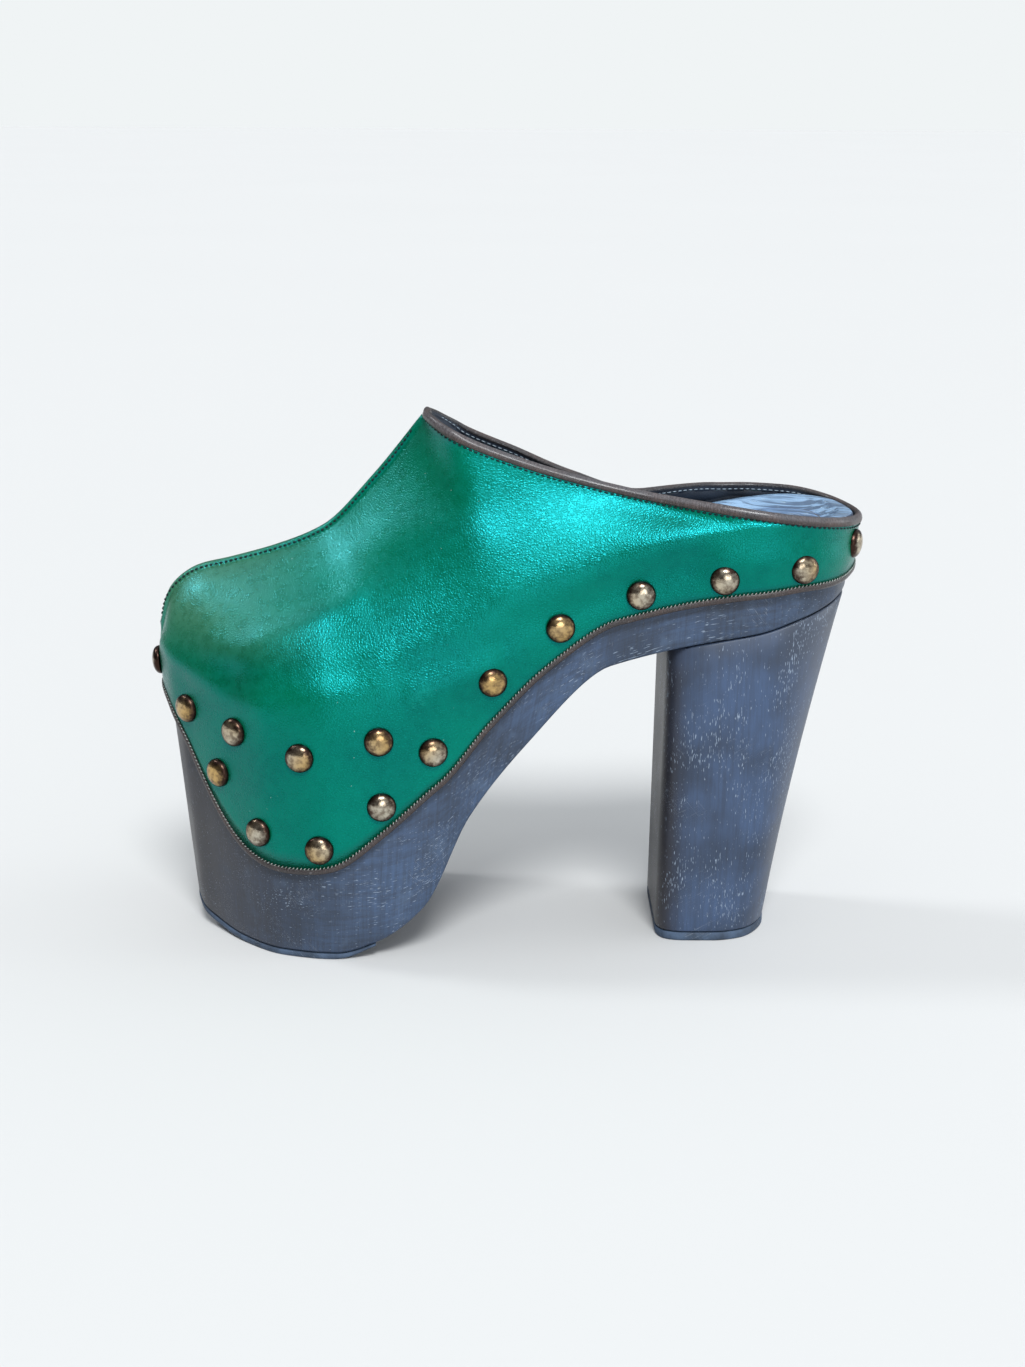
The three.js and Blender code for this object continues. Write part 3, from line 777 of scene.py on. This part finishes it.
# One rib of the outer face, from the lower edge up the wood, over the fold and to the top
def rib(side, at):
    offset = outward(side, at) * (WOOD_GAP + WALL)
    top = rib_top(side, at)[0]
    wooden = top_edge(side, at)
    fold_height = min(wooden[2] + FOLD_RISE, top[2] - COLLAR_BINDING_HEIGHT / 2)
    fold_down = (wooden[2] - fold_height) / (wooden[2] - foot_edge(side, at)[2])
    edge = between(ribs["edge"], np.clip(at + EDGE_EASE, 0, LAST_ROW), "even").mean()
    flap = np.linspace(edge, fold_down, FLAP_COLUMNS + 1)[:-1]
    lower = on_side(side, np.full(FLAP_COLUMNS, at), flap) + offset
    fold = on_side(side, at, fold_down) + offset
    reach = top - fold
    climb, lean, spread, drop = (between(ribs[name], at, "even") for name in list(ribs)[1:])
    rising = fold + reach * np.array([lean, lean, climb])
    arriving = top - reach * np.array([spread, spread, drop])
    t = np.linspace(0, 1, CURVE_POINTS)[:, None]
    back = 1 - t
    curve = back ** 3 * fold + 3 * back ** 2 * t * rising + 3 * back * t ** 2 * arriving + t ** 3 * top
    way = way_along(curve)
    near_top = SEAM_COLUMNS * min(1, 0.4 * way[-1] / SEAM_COLUMNS[0])
    evenly = np.linspace(0, way[-1] - near_top[0], CROWN_COLUMNS + 1)[:-1]
    return np.concatenate([lower, points_at(curve, way, np.concatenate([evenly, way[-1] - near_top]))])


# The outer face as rings of ribs: the inner side from toe to back, then the outer side back again
ring_places = [("inner", at) for at in there] + [("outer", at) for at in back_again]
skin = np.array([rib(side, at) for side, at in ring_places])
RING, COLUMNS = skin.shape[:2]
skin[0, :, 1] = 0
skin[STATIONS, :, 1] = 0
TOP = COLUMNS - 1

# The leather is pulled tight, so it turns over the edge of the wood in a soft curve
FOLD_ROUNDS = 8
soft_from, soft_to = 3, COLUMNS - len(SEAM_COLUMNS) - 1
for _ in range(FOLD_ROUNDS):
    middle = skin[:, soft_from:soft_to]
    mean = (skin[:, soft_from - 1:soft_to - 1] + skin[:, soft_from + 1:soft_to + 1]) / 2
    skin[:, soft_from:soft_to] = middle + (mean - middle) * 0.5


# Outward normals of the rings. On the vamp's ridge both sides share one.
def normals_of(grid):
    around = np.roll(grid, -1, 0) - np.roll(grid, 1, 0)
    up = np.gradient(grid, axis=1)
    normals = unit(np.cross(around, up))
    for i in range(1, THROAT + 1):
        both = normals[i, TOP] + normals[RING - i, TOP]
        normals[i, TOP] = normals[RING - i, TOP] = both / np.linalg.norm(both)
    return normals


# Round the throat, where the ribs turn from the ridge to the collar, the leather runs on evenly
THROAT_REACH = 10
THROAT_ROUNDS = 60
near_throat = sum(np.exp(-((np.arange(RING) - place) / THROAT_REACH) ** 2)
                  for place in (THROAT, RING - THROAT))
below_top = np.interp(np.arange(COLUMNS), [FLAP_COLUMNS, FLAP_COLUMNS + 6, soft_to - 2, TOP], [0, 1, 1, 0])
evenness = 0.5 * near_throat[:, None, None] * below_top[None, :, None]
for _ in range(THROAT_ROUNDS):
    skin += evenness * ((np.roll(skin, 1, 0) + np.roll(skin, -1, 0)) / 2 - skin)

skin_normals = normals_of(skin)
on_ridge = np.array([min(k, RING - k) <= THROAT for k in range(RING)])
from_top = np.array([way_along(line[::-1])[::-1] for line in skin])
from_edge = np.array([way_along(line) for line in skin])

# Folds and hollows of the worn leather, set on both sides: points along each, in millimetres
# from the middle of the shoe, then its half width, and its height or, below nought, its depth
folds = [
    ([(-96, 25, 100), (-87, 31, 100), (-71, 32, 108), (-52, 28, 117)], 5.5, 1.0),
    ([(-90, 34, 92), (-72, 40, 95), (-50, 42, 97)], 6, -0.6),
    ([(-115, 8, 98), (-108, 19, 94), (-100, 26, 90), (-91, 32, 86), (-80, 39, 84)], 3.4, 1.0),
    ([(-106, 12, 105), (-98, 22, 99), (-88, 30, 94)], 4.5, -0.45),
    ([(68, 34, 131), (88, 34, 130), (102, 29, 129), (110, 18, 128)], 6.5, 1.2),
    ([(-30, 43, 90), (-18, 41, 94), (-6, 39, 98)], 4.5, 0.8),
    ([(-34, 44, 96), (-20, 41, 101), (-4, 38, 104)], 5, -0.55),
    ([(2, 37, 111), (28, 33, 120), (60, 33, 131)], 6, -0.8),
    ([(0, 35, 120), (28, 32, 128), (56, 33, 137)], 7, 0.5),
    ([(-27, 12, 158), (-22, 18, 150), (-10, 24, 144)], 9, -0.8),
    ([(-44, 18, 134), (-30, 22, 140), (-12, 26, 140)], 9, 0.6),
    ([(-100, 8, 118), (-86, 8, 123), (-72, 5, 129)], 5, 0.35),
]


def way_off(places, line):
    nearest = np.full(len(places), 1e9)
    for a, b in zip(line, line[1:]):
        along = b - a
        share = np.clip(((places - a) @ along) / (along @ along), 0, 1)
        nearest = np.minimum(nearest, np.linalg.norm(places - a - share[:, None] * along, axis=1))
    return nearest


FLAT_NEAR_TOP = 12
FLAT_NEAR_EDGE = 10
fold_lift = np.zeros(RING * COLUMNS)
flat_skin = skin.reshape(-1, 3)
for sign in (-1, 1):
    for line, half_width, height in folds:
        path = np.array(line, float) * (1, sign, 1)
        fold_lift += height * np.exp(-(way_off(flat_skin, path) / half_width) ** 2)
fold_lift = fold_lift.reshape(RING, COLUMNS)
fold_lift *= np.clip(from_top / FLAT_NEAR_TOP, 0, 1) * np.clip(from_edge / FLAT_NEAR_EDGE, 0, 1)

# The raised seam follows the ridge and runs out down the front of the toe
toe_rib = skin[0, ::-1][from_top[0, ::-1] < SEAM_END]
seam_path = np.concatenate([skin[THROAT:0:-1, TOP], toe_rib])
seam = np.clip((SEAM_HALF_WIDTH - way_off(flat_skin, seam_path)) / SEAM_FLANK, 0, 1).reshape(RING, COLUMNS)
runs_out = np.clip((skin[..., 2] - toe_rib[-1, 2]) / (toe_rib[0, 2] - toe_rib[-1, 2]), 0, 1)
seam = seam * seam * (3 - 2 * seam) * runs_out * SEAM_HEIGHT
seam -= np.where(on_ridge[:, None] & (from_top < 0.2), SEAM_GROOVE, 0)
outer = skin + skin_normals * (fold_lift + seam)[..., None]
lining = skin + skin_normals * (fold_lift * 0.6 - WALL)[..., None]
outer_normals = normals_of(outer)


# Where each point of the rings is kept: on the ridge both sides share one
def kept_as(first):
    number = first + np.arange(RING * COLUMNS).reshape(RING, COLUMNS)
    for i in range(1, THROAT + 1):
        number[RING - i, TOP] = number[i, TOP]
    return number


def upper_mesh():
    out = kept_as(0)
    within = kept_as(RING * COLUMNS)
    faces = []
    lined = []
    for k in range(RING):
        after = (k + 1) % RING
        for j in range(TOP):
            faces.append((out[k, j], out[after, j], out[after, j + 1], out[k, j + 1]))
            faces.append((within[k, j + 1], within[after, j + 1], within[after, j], within[k, j]))
            lined += [0, 1]
        faces.append((within[k, 0], within[after, 0], out[after, 0], out[k, 0]))
        lined.append(0)
        if THROAT <= k < RING - THROAT:
            faces.append((out[k, TOP], out[after, TOP], within[after, TOP], within[k, TOP]))
            lined.append(0)
    places = np.concatenate([outer.reshape(-1, 3), lining.reshape(-1, 3)])
    used = np.zeros(len(places), bool)
    used[np.array(faces)] = True
    faces = (np.cumsum(used) - 1)[np.array(faces)].tolist()
    return places[used], faces, {"fromEdge": np.tile(from_edge.ravel(), 2)[used]}, lined


# Leather: small rounded pebbles with creases between them, and finer pores on top
def leather_grain_group():
    group, given, result = new_group(
        "leather grain", {"Place": (0, 0, 0), "Size": 0.8, "Stretch": (1, 1, 1)}, ("Height", "Crevice"))
    sized = add(group, "VectorMath", {"operation": "SCALE"}, scaled(given["Place"], given["Stretch"]),
                Scale=maths("DIVIDE", 1, given["Size"])).outputs[0]
    swirl = add(group, "TexNoise", {}, Vector=sized, Scale=1.4, Detail=1).outputs["Color"]
    bent = moved_by(sized, scaled(swirl, (0.35, 0.35, 0.35)))
    pebble = add(group, "TexVoronoi", {"feature": "DISTANCE_TO_EDGE"}, Vector=bent, Scale=1)
    from_crease = pebble.outputs["Distance"]
    pores = cloud(sized, 0.22, 2)
    put(result["Height"],
        plus(times(span(from_crease, 0, 0.28), 0.75), times(pores, 0.35)))
    put(result["Crevice"], span(from_crease, 0, 0.12, 1, 0))
    return group


leather_grain = leather_grain_group()


def green_leather():
    material, place = new_material(
        "green leather", IOR=1.6, Specular_IOR_Level=1.0, Specular_Tint=(0.03, 0.86, 1, 1))
    along, _, up = parts_of(place)
    grain = placed(leather_grain, place, Size=0.85)
    wrinkle = placed(leather_grain, place, Size=2.6, Stretch=(1.3, 1, 0.7))
    tone = cloud(place, 34)
    mottle = cloud(place, 3.2, 4, 0.65)
    # Paler and patchy on top of the toe and the vamp: partly dust, partly a painted sheen where the top
    # faces the bright sky
    dust_and_sheen = times(span(along, -104, -48, 1, 0), span(up, 94, 112))
    # Darker low on the end of the toe, where the leather turns away from the light: painted shade
    toe_corner_shade = times(span(along, -114, -92, 1, 0), span(up, 100, 88))
    rubbed = times(span(cloud(place, 12, 3, 0.6), 0.64, 0.76),
                   span(cloud(place, 0.7, 3, 0.7), 0.5, 0.62, 0, 0.55))
    colour = layered(
        span(tone, 0.32, 0.7), (0, 75, 46), (0, 95, 63),
        (span(mottle, 0.35, 0.7, 0, 0.3), (0, 108, 80)),
        (times(dust_and_sheen, span(mottle, 0.3, 0.7, 0.3, 0.5)), (88, 128, 96)),
        (times(toe_corner_shade, 0.75), (14, 62, 26)),
        (times(grain["Crevice"], 0.18), (0, 60, 44)),
        # Darker within a few millimetres of the lower edge: painted shade where the leather meets the edge
        # binding and the wood
        (span(mark_of(place, "fromEdge"), 0.4, 4.5, 0.55, 0), (8, 62, 46)),
        (rubbed, (30, 140, 118)),
        (span(cloud(place, 1.1, 2, 0.6), 0.78, 0.8), (170, 196, 184)),
    )
    rough = plus(span(mottle, 0.3, 0.7, 0.25, 0.33), times(rubbed, 0.2))
    creased = times(wrinkle["Height"], span(cloud(place, 20, 2), 0.4, 0.7, 0.15, 0.9))
    return cover(material, colour, rough, plus(grain["Height"], times(creased, 0.5)), 0.045, 1)


def lining_leather():
    material, place = new_material("lining leather", Specular_IOR_Level=0.4)
    grain = placed(leather_grain, place, Size=0.5)
    tone = cloud(place, 14)
    colour = layered(
        span(tone, 0.3, 0.7), (20, 26, 35), (42, 53, 68),
        (times(grain["Crevice"], 0.4), (14, 16, 22)),
    )
    return cover(material, colour, span(tone, 0.3, 0.7, 0.5, 0.68), grain["Height"], 0.08, 0.5)


new_piece("leather_upper", [green_leather(), lining_leather()], "upper_leather", ["upper"], *upper_mesh())


# A thread of stitches along a path: each is a short rounded bead that dips into the leather at its ends
BEAD_RINGS = 5
BEAD_SIDES = 6


def stitch_line(name, path, normals, pitch, length, width, material, slot, slant=0.0, closed=False):
    if closed:
        path = np.concatenate([path, path[:1]])
        normals = np.concatenate([normals, normals[:1]])
    way = way_along(path)
    count = int(way[-1] / pitch)
    at = (np.arange(count) + 0.5) * way[-1] / count
    centre = points_at(path, way, at)
    ahead = unit(points_at(path, way, at + 0.3) - points_at(path, way, at - 0.3))
    up = unit(points_at(normals, way, at))
    across = unit(np.cross(up, ahead))
    forward = ahead * math.cos(slant) + across * math.sin(slant)
    across = np.cross(up, forward)
    template = []
    for share in np.linspace(-1, 1, BEAD_RINGS):
        thick = math.sqrt(max(1 - (0.88 * share) ** 2, 0.05))
        for k in range(BEAD_SIDES):
            turn = 2 * math.pi * k / BEAD_SIDES
            dip = 0.35 * width * (1 - share * share) - 0.1 * width
            template.append((share * length / 2, thick * width / 2 * math.cos(turn),
                             thick * width / 2 * math.sin(turn) + dip))
    template = np.array(template)
    spots = (centre[:, None] + forward[:, None] * template[:, 0, None]
             + across[:, None] * template[:, 1, None] + up[:, None] * template[:, 2, None])
    faces = []
    for bead in range(count):
        first = bead * len(template)
        faces += bands(first, BEAD_RINGS, BEAD_SIDES)
        faces.append(tuple(first + k for k in reversed(range(BEAD_SIDES))))
        faces.append(tuple(first + (BEAD_RINGS - 1) * BEAD_SIDES + k for k in range(BEAD_SIDES)))
    new_piece(name, [material], slot, [], spots.reshape(-1, 3), faces)


# Waxed thread, twisted and a little fuzzy
def thread(name, dark, light):
    material, place = new_material(name, Specular_IOR_Level=0.3)
    twist = cloud(scaled(place, (3, 3, 6)), 1, 2)
    colour = layered(span(twist, 0.35, 0.65), dark, light)
    return cover(material, colour, span(twist, 0.3, 0.7, 0.55, 0.75), twist, 0.1, 0.6)


# Points of the outer face at a distance below the top or above the lower edge, and its normals there
def at_distance(distances, wanted, rings):
    order = np.argsort(distances, 1)
    spots, facing = (np.array([points_at(grid[k, order[k]], distances[k, order[k]], wanted) for k in rings])
                     for grid in (outer, outer_normals))
    return spots, unit(facing)


# The vamp's seam is sewn down with dark thread along both its feet, and the collar's binding is sewn on
# with the same thread below it.
dark_thread = thread("dark thread", (3, 18, 22), (12, 40, 46))
pale_thread = thread("pale thread", (110, 126, 140), (168, 182, 192))
VAMP_STITCH = {"pitch": 1.7, "length": 1.15, "width": 0.7}
COLLAR_STITCH = {"pitch": 1.9, "length": 1.3, "width": 0.55}
VAMP_STITCHES_OFF_RIDGE = 1.75
COLLAR_STITCHES_BELOW_TOP = 0.95
seam_rings = range(2, THROAT - 1)
for side_name, rings in (("inner", seam_rings), ("outer", [RING - k for k in seam_rings])):
    stitch_line("vamp_stitches_" + side_name,
                *at_distance(from_top, VAMP_STITCHES_OFF_RIDGE, rings),
                material=dark_thread, slot="upper_leather", **VAMP_STITCH)
stitch_line("collar_stitches",
            *at_distance(from_top, COLLAR_STITCHES_BELOW_TOP, range(THROAT + 2, RING - THROAT - 1)),
            material=dark_thread, slot="upper_leather", **COLLAR_STITCH)

# The bindings are strips of grey-brown leather: one rolled over the collar, one along the lower edge,
# which is overcast to the leather with fine pale stitches.
# Each profile goes round its strip from the leather's face, and gives the distance out of that face and past
# the leather's edge. From LINED_FROM on the collar's strip is covered by the lining.
collar_profile = [(0.05, -0.3), (0.42, -0.15), (0.6, 0.3), (0.66, 0.9), (0.56, 1.5), (0.2, 2.2),
                  (-0.3, 2.65), (-0.9, 2.75), (-1.45, 2.5), (-1.85, 2.05), (-1.95, 1.6), (-1.75, 1.3),
                  (-1.8, 0.4), (-1.8, -0.3)]
LINED_FROM = 11
edge_profile = [(0.02, -0.25), (0.34, -0.18), (0.5, 0.1), (0.58, 0.6), (0.5, 1.15), (0.22, 1.55),
                (-0.35, 1.7), (-1.2, 1.7), (-1.8, 1.6), (-1.8, 0.2)]
LINING_STITCH = {"pitch": 2.0, "length": 1.4, "width": 0.36}
LINING_STITCHES_IN = 1.82
LINING_STITCHES_UP = 0.5
OVERCAST_STITCH = {"pitch": 1.3, "length": 0.9, "width": 0.34, "slant": 0.8}
OVERCAST_ABOVE_EDGE = 0.4
OVERCAST_PROUD = 0.3


# The way out of the leather's edge, square to the path and to the leather's face
def off_edge(path, facing, sense):
    return unit(np.cross(facing, np.roll(path, -1, 0) - np.roll(path, 1, 0))) * sense


def binding_mesh(path, facing, profile, sense, swell, lined_from):
    away = off_edge(path, facing, sense)
    way = way_along(path)
    swelling = np.array([1 + swell * noise.noise(Vector((d / 6, sense * 5, 0))) for d in way])
    profile = np.array(profile)
    spots = (path[:, None] + facing[:, None] * (profile[:, 0, None] * swelling[:, None, None])
             + away[:, None] * profile[:, 1, None])
    count = len(profile)
    faces = []
    for k in range(len(path)):
        after = (k + 1) % len(path)
        for j in range(count):
            step = (j + 1) % count
            loop = (k * count + j, after * count + j, after * count + step, k * count + step)
            faces.append(loop if sense > 0 else loop[::-1])
    marks = {"strip": points(np.repeat(way, count), np.tile(way_along(profile), len(path)), 0)}
    return spots.reshape(-1, 3), faces, marks, [int(j >= lined_from) for _ in path for j in range(count)]


def binding_leather(name, dark, light, sheen_tone, roll_share):
    material, place = new_material(
        name, Specular_IOR_Level=0.6, Specular_Tint=sheen_tone, Coat_Roughness=0.22)
    strip = mark_of(place, "strip", "Vector")
    across = parts_of(strip)[1]
    grain = placed(leather_grain, place, Size=0.5)
    tucks = placed(leather_grain, strip, Size=1.5, Stretch=(1.7, 0.45, 1))
    tone = cloud(place, 9, 3, 0.6)
    # The top of the roll is paler and bluer grey: a painted sheen, together with rubbing
    roll = times(span(across, 1.3, 2.3, 0, roll_share), span(across, 3.6, 4.3, 1, 0))
    colour = layered(
        span(tone, 0.3, 0.7), dark, light,
        (roll, (116, 114, 120)),
        # The inner side of the strip is darker: painted shade, together with dirt from the foot
        (span(across, 4.6, 5.4, 0, 0.8), (26, 24, 26)),
        (times(tucks["Crevice"], 0.6), (30, 22, 20)),
        (span(cloud(place, 1.2, 4, 0.7), 0.58, 0.72, 0, 0.4), (128, 130, 132)),
    )
    return cover(material, colour, span(tone, 0.3, 0.7, 0.38, 0.55),
                 plus(grain["Height"], times(tucks["Height"], 1.6)), 0.12, 0.7,
                 Coat_Weight=span(tone, 0.3, 0.7, 0.5, 0.25))


binding_rings = list(range(THROAT, RING - THROAT))
collar_path = skin[binding_rings, TOP]
collar_facing = skin_normals[binding_rings, TOP]
collar_leather = binding_leather("collar binding leather", (40, 28, 25), (74, 57, 51),
                                 (0.86, 0.93, 1, 1), 0.3)
new_piece("rolled_collar_binding", [collar_leather, lining_leather()], "binding_leather", ["collar_binding"],
          *binding_mesh(collar_path, collar_facing, collar_profile, 1, 0.12, LINED_FROM))
sewn_along = (collar_path - collar_facing * LINING_STITCHES_IN
              + off_edge(collar_path, collar_facing, 1) * LINING_STITCHES_UP)
stitch_line("lining_stitches", sewn_along[6:-6], -collar_facing[6:-6], material=pale_thread,
            slot="binding_leather", **LINING_STITCH)
edge_leather = binding_leather("edge binding leather", (34, 24, 21), (62, 48, 43), (0.9, 0.93, 1, 1), 0)
new_piece("lower_edge_binding", [edge_leather], "binding_leather", ["edge_binding"],
          *binding_mesh(skin[:, 0], skin_normals[:, 0], edge_profile, -1, 0.15, len(edge_profile)))
overcast_thread = thread("overcast thread", (112, 118, 114), (176, 184, 178))
spots, facing = at_distance(from_edge, OVERCAST_ABOVE_EDGE, range(RING))
stitch_line("overcast_stitches", spots + facing * OVERCAST_PROUD, facing, material=overcast_thread,
            slot="binding_leather", closed=True, **OVERCAST_STITCH)

# The studs are domed nails of antique brass, driven through the leather into the wood. A dark film stays
# round their rims and in small pits, and their tops are rubbed bright.
STUD_DIAMETER = 9.6
STUD_HEIGHT = 2.8
STUD_RIM = 0.5
STUD_BACK = -0.35
STUD_INSET = 7.8
STUD_SIDES = 40
TOE_STUD_UP = 0.9
stud_rows = table("""at up
1.8 0.9
2.7 1.15
3.65 1.1
4.8 0.85
6 0.9
6.9 1.2
7.95 1.1
9.1 0.95
10.3 0.8
11.5 0.75
12.85 0.75
14.3 1.15
3.2 3.9
4.5 4.85
5.9 3.1""")


# Where a stud sits: up a rib, by a distance square to the lower edge, and the way that it faces
def stud_seat(side, at, up):
    nudge = 0.06
    here = rib(side, at)
    before = rib(side, max(at - nudge, 0))
    after = rib(side, min(at + nudge, LAST_ROW))
    rising = unit(here[1] - here[0])
    along = unit(after[0] - before[0])
    if at == 0:
        here[:, 1] = 0
        along = np.array([0, SIGN[side], 0.0])
    left = up * STUD_INSET / np.linalg.norm(np.cross(rising, along))

    def climbed(line, more=0.0):
        return points_at(line, way_along(line), left + more)

    onward = along if at == 0 else climbed(after) - climbed(before)
    facing = unit(np.cross(climbed(here, 1.5) - climbed(here, -1.5), onward))
    if facing @ outward(side, at) < 0:
        facing = -facing
    return climbed(here), facing


def stud_mesh():
    radius = STUD_DIAMETER / 2
    dome = STUD_HEIGHT - STUD_RIM
    profile = [(radius * 0.9, STUD_BACK), (radius * 0.985, -0.1), (radius, 0.12),
               (radius * 0.99, STUD_RIM * 0.8)]
    for turn in np.linspace(0.12, math.pi / 2 - 0.12, 9):
        profile.append((radius * 0.985 * math.cos(turn), STUD_RIM + dome * math.sin(turn)))
    spots = [(0, 0, STUD_BACK)]
    for r, z in profile:
        for k in range(STUD_SIDES):
            turn = 2 * math.pi * k / STUD_SIDES
            spots.append((r * math.cos(turn), r * math.sin(turn), z))
    spots.append((0, 0, STUD_HEIGHT))
    faces = bands(1, len(profile), STUD_SIDES)
    high = 1 + (len(profile) - 1) * STUD_SIDES
    for k in range(STUD_SIDES):
        after = (k + 1) % STUD_SIDES
        faces.append((0, 1 + after, 1 + k))
        faces.append((high + k, high + after, len(spots) - 1))
    spots = np.array(spots)
    return spots, faces, np.hypot(spots[:, 0], spots[:, 1]) / radius


def antique_brass():
    material, place = new_material("antique brass", Coat_Roughness=0.15)
    film = cloud(place, 1.7, 4, 0.65)
    pits = cloud(place, 0.45, 3, 0.6)
    own = cloud(place, 21, 1)
    rim = plus(mark_of(place, "fromCentre"), times(minus(film, 0.5), 0.6))
    dark_spots = span(pits, 0.66, 0.78, 0, 0.5)
    colour = layered(
        span(own, 0.35, 0.65), (198, 190, 172), (202, 168, 110),
        (span(film, 0.38, 0.66, 0, 0.7), (98, 80, 64)),
        (span(rim, 0.42, 0.95), (60, 44, 38)),
        (dark_spots, (48, 34, 26)),
    )
    rough = plus(span(rim, 0.4, 0.95, 0.12, 0.28), times(dark_spots, 0.2))
    return cover(material, colour, rough, plus(film, pits), 0.08, 0.35,
                 Metallic=span(dark_spots, 0, 0.7, 1, 0.7))


brass = antique_brass()
stud_spots, stud_faces, stud_reach = stud_mesh()


def drive_stud(name, side, at, up):
    point, facing = stud_seat(side, at, up)
    turn = np.array(Vector((0, 0, 1)).rotation_difference(Vector(facing)).to_matrix())
    new_piece("brass_" + name, [brass], "stud_brass", [name], stud_spots @ turn.T + point, stud_faces,
              {"fromCentre": stud_reach})


drive_stud("stud_toe", "inner", 0, TOE_STUD_UP)
for side in SIGN:
    for number, (at, up) in enumerate(zip(stud_rows["at"], stud_rows["up"]), 1):
        drive_stud(f"stud_{side}_{number}", side, at, up)


# The shoe stands on a plain pale floor. One large soft light hangs high in front. Three weaker ones stand
# low beside the camera, low behind the heel and high on the left, and the pale surroundings light the rest.
def pale_floor():
    material, place = new_material("pale floor", Roughness=0.9, Specular_IOR_Level=0.1)
    colour = layered(cloud(place, 900, 2), (208, 208, 207), (210, 210, 209))
    put(material.node_tree.nodes["Principled BSDF"].inputs["Base Color"], colour)
    return material


FLOOR_HALF = 20
floor_mesh = bpy.data.meshes.new("floor")
corners = [(x * FLOOR_HALF, y * FLOOR_HALF, 0) for x, y in ((-1, -1), (1, -1), (1, 1), (-1, 1))]
floor_mesh.from_pydata(corners, [], [(0, 1, 2, 3)])
floor_mesh.materials.append(pale_floor())
floor = bpy.data.objects.new("floor", floor_mesh)
bpy.context.scene.collection.objects.link(floor)

# The surroundings are bright above and dim round the sides, as under an open sky. Seen straight on they
# are as pale as the floor.
DIM_SIDES = (0.13, 0.13, 0.135, 1)
BRIGHT_SKY = (0.74, 0.78, 0.83, 1)
BRIGHTEST_TOWARDS = (0.4, -0.05, 0.91)
world = bpy.data.worlds.new("pale surroundings")
world.use_nodes = True
sky = world.node_tree
heading = add(sky, "TexCoord", {}).outputs["Generated"]
facing_light = add(sky, "VectorMath", {"operation": "DOT_PRODUCT"}, heading, BRIGHTEST_TOWARDS)
glow = span(facing_light.outputs["Value"], 0.1, 0.8)
light_colour = mixed(glow, DIM_SIDES, BRIGHT_SKY)
seen = add(sky, "LightPath", {}).outputs["Is Camera Ray"]
put(sky.nodes["Background"].inputs["Color"], mixed(seen, light_colour, shade(240, 244, 245)))
bpy.context.scene.world = world


# A direction by its azimuth, from the side that the camera sees, and its elevation, both in radians
def away_to(azimuth, elevation):
    flat = math.cos(elevation)
    return Vector((math.sin(azimuth) * flat, -math.cos(azimuth) * flat, math.sin(elevation)))


def hang_light(name, azimuth, elevation, spread, power, colour):
    light = bpy.data.lights.new(name, "SUN")
    light.angle = math.radians(spread)
    light.energy = power
    light.color = colour
    made = bpy.data.objects.new(name, light)
    away = away_to(math.radians(azimuth), math.radians(elevation))
    made.rotation_euler = (-away).to_track_quat("-Z", "Y").to_euler()
    made.location = away
    bpy.context.scene.collection.objects.link(made)


hang_light("key", 7, 50, 19, 2.6, (0.97, 0.99, 1))
hang_light("heel", 96, 12, 34, 0.7, (0.96, 1, 0.98))
hang_light("front", 12, 8, 28, 0.5, (1, 0.98, 0.95))
hang_light("toe", -107, 46, 11, 0.7, (0.95, 0.98, 1))

# The camera is level with the photograph's: a little above, square to the inner side
TARGET = np.array([0.9, 0, 82.2])
AZIMUTH, ELEVATION, ROLL = (math.radians(angle) for angle in (0.5, 14.9, 0.3))
DISTANCE = 744.5
FOCAL_PIXELS = 2200
LONG_SIDE_PIXELS = 1367
SENSOR = 36
back = away_to(-AZIMUTH, ELEVATION)
level_right = (-back).cross(Vector((0, 0, 1))).normalized()
level_up = level_right.cross(-back)
right = level_right * math.cos(ROLL) + level_up * math.sin(ROLL)
upward = level_up * math.cos(ROLL) - level_right * math.sin(ROLL)
lens = bpy.data.cameras.new("camera")
lens.lens = FOCAL_PIXELS / LONG_SIDE_PIXELS * SENSOR
lens.sensor_width = SENSOR
lens.clip_start = 0.01
camera = bpy.data.objects.new("camera", lens)
turn = Matrix((right, upward, back)).transposed().to_4x4()
camera.matrix_world = Matrix.Translation(Vector((TARGET + ORIGIN) / 1000) + back * DISTANCE / 1000) @ turn
bpy.context.scene.collection.objects.link(camera)
bpy.context.scene.camera = camera
bpy.context.scene.view_settings.view_transform = "Standard"
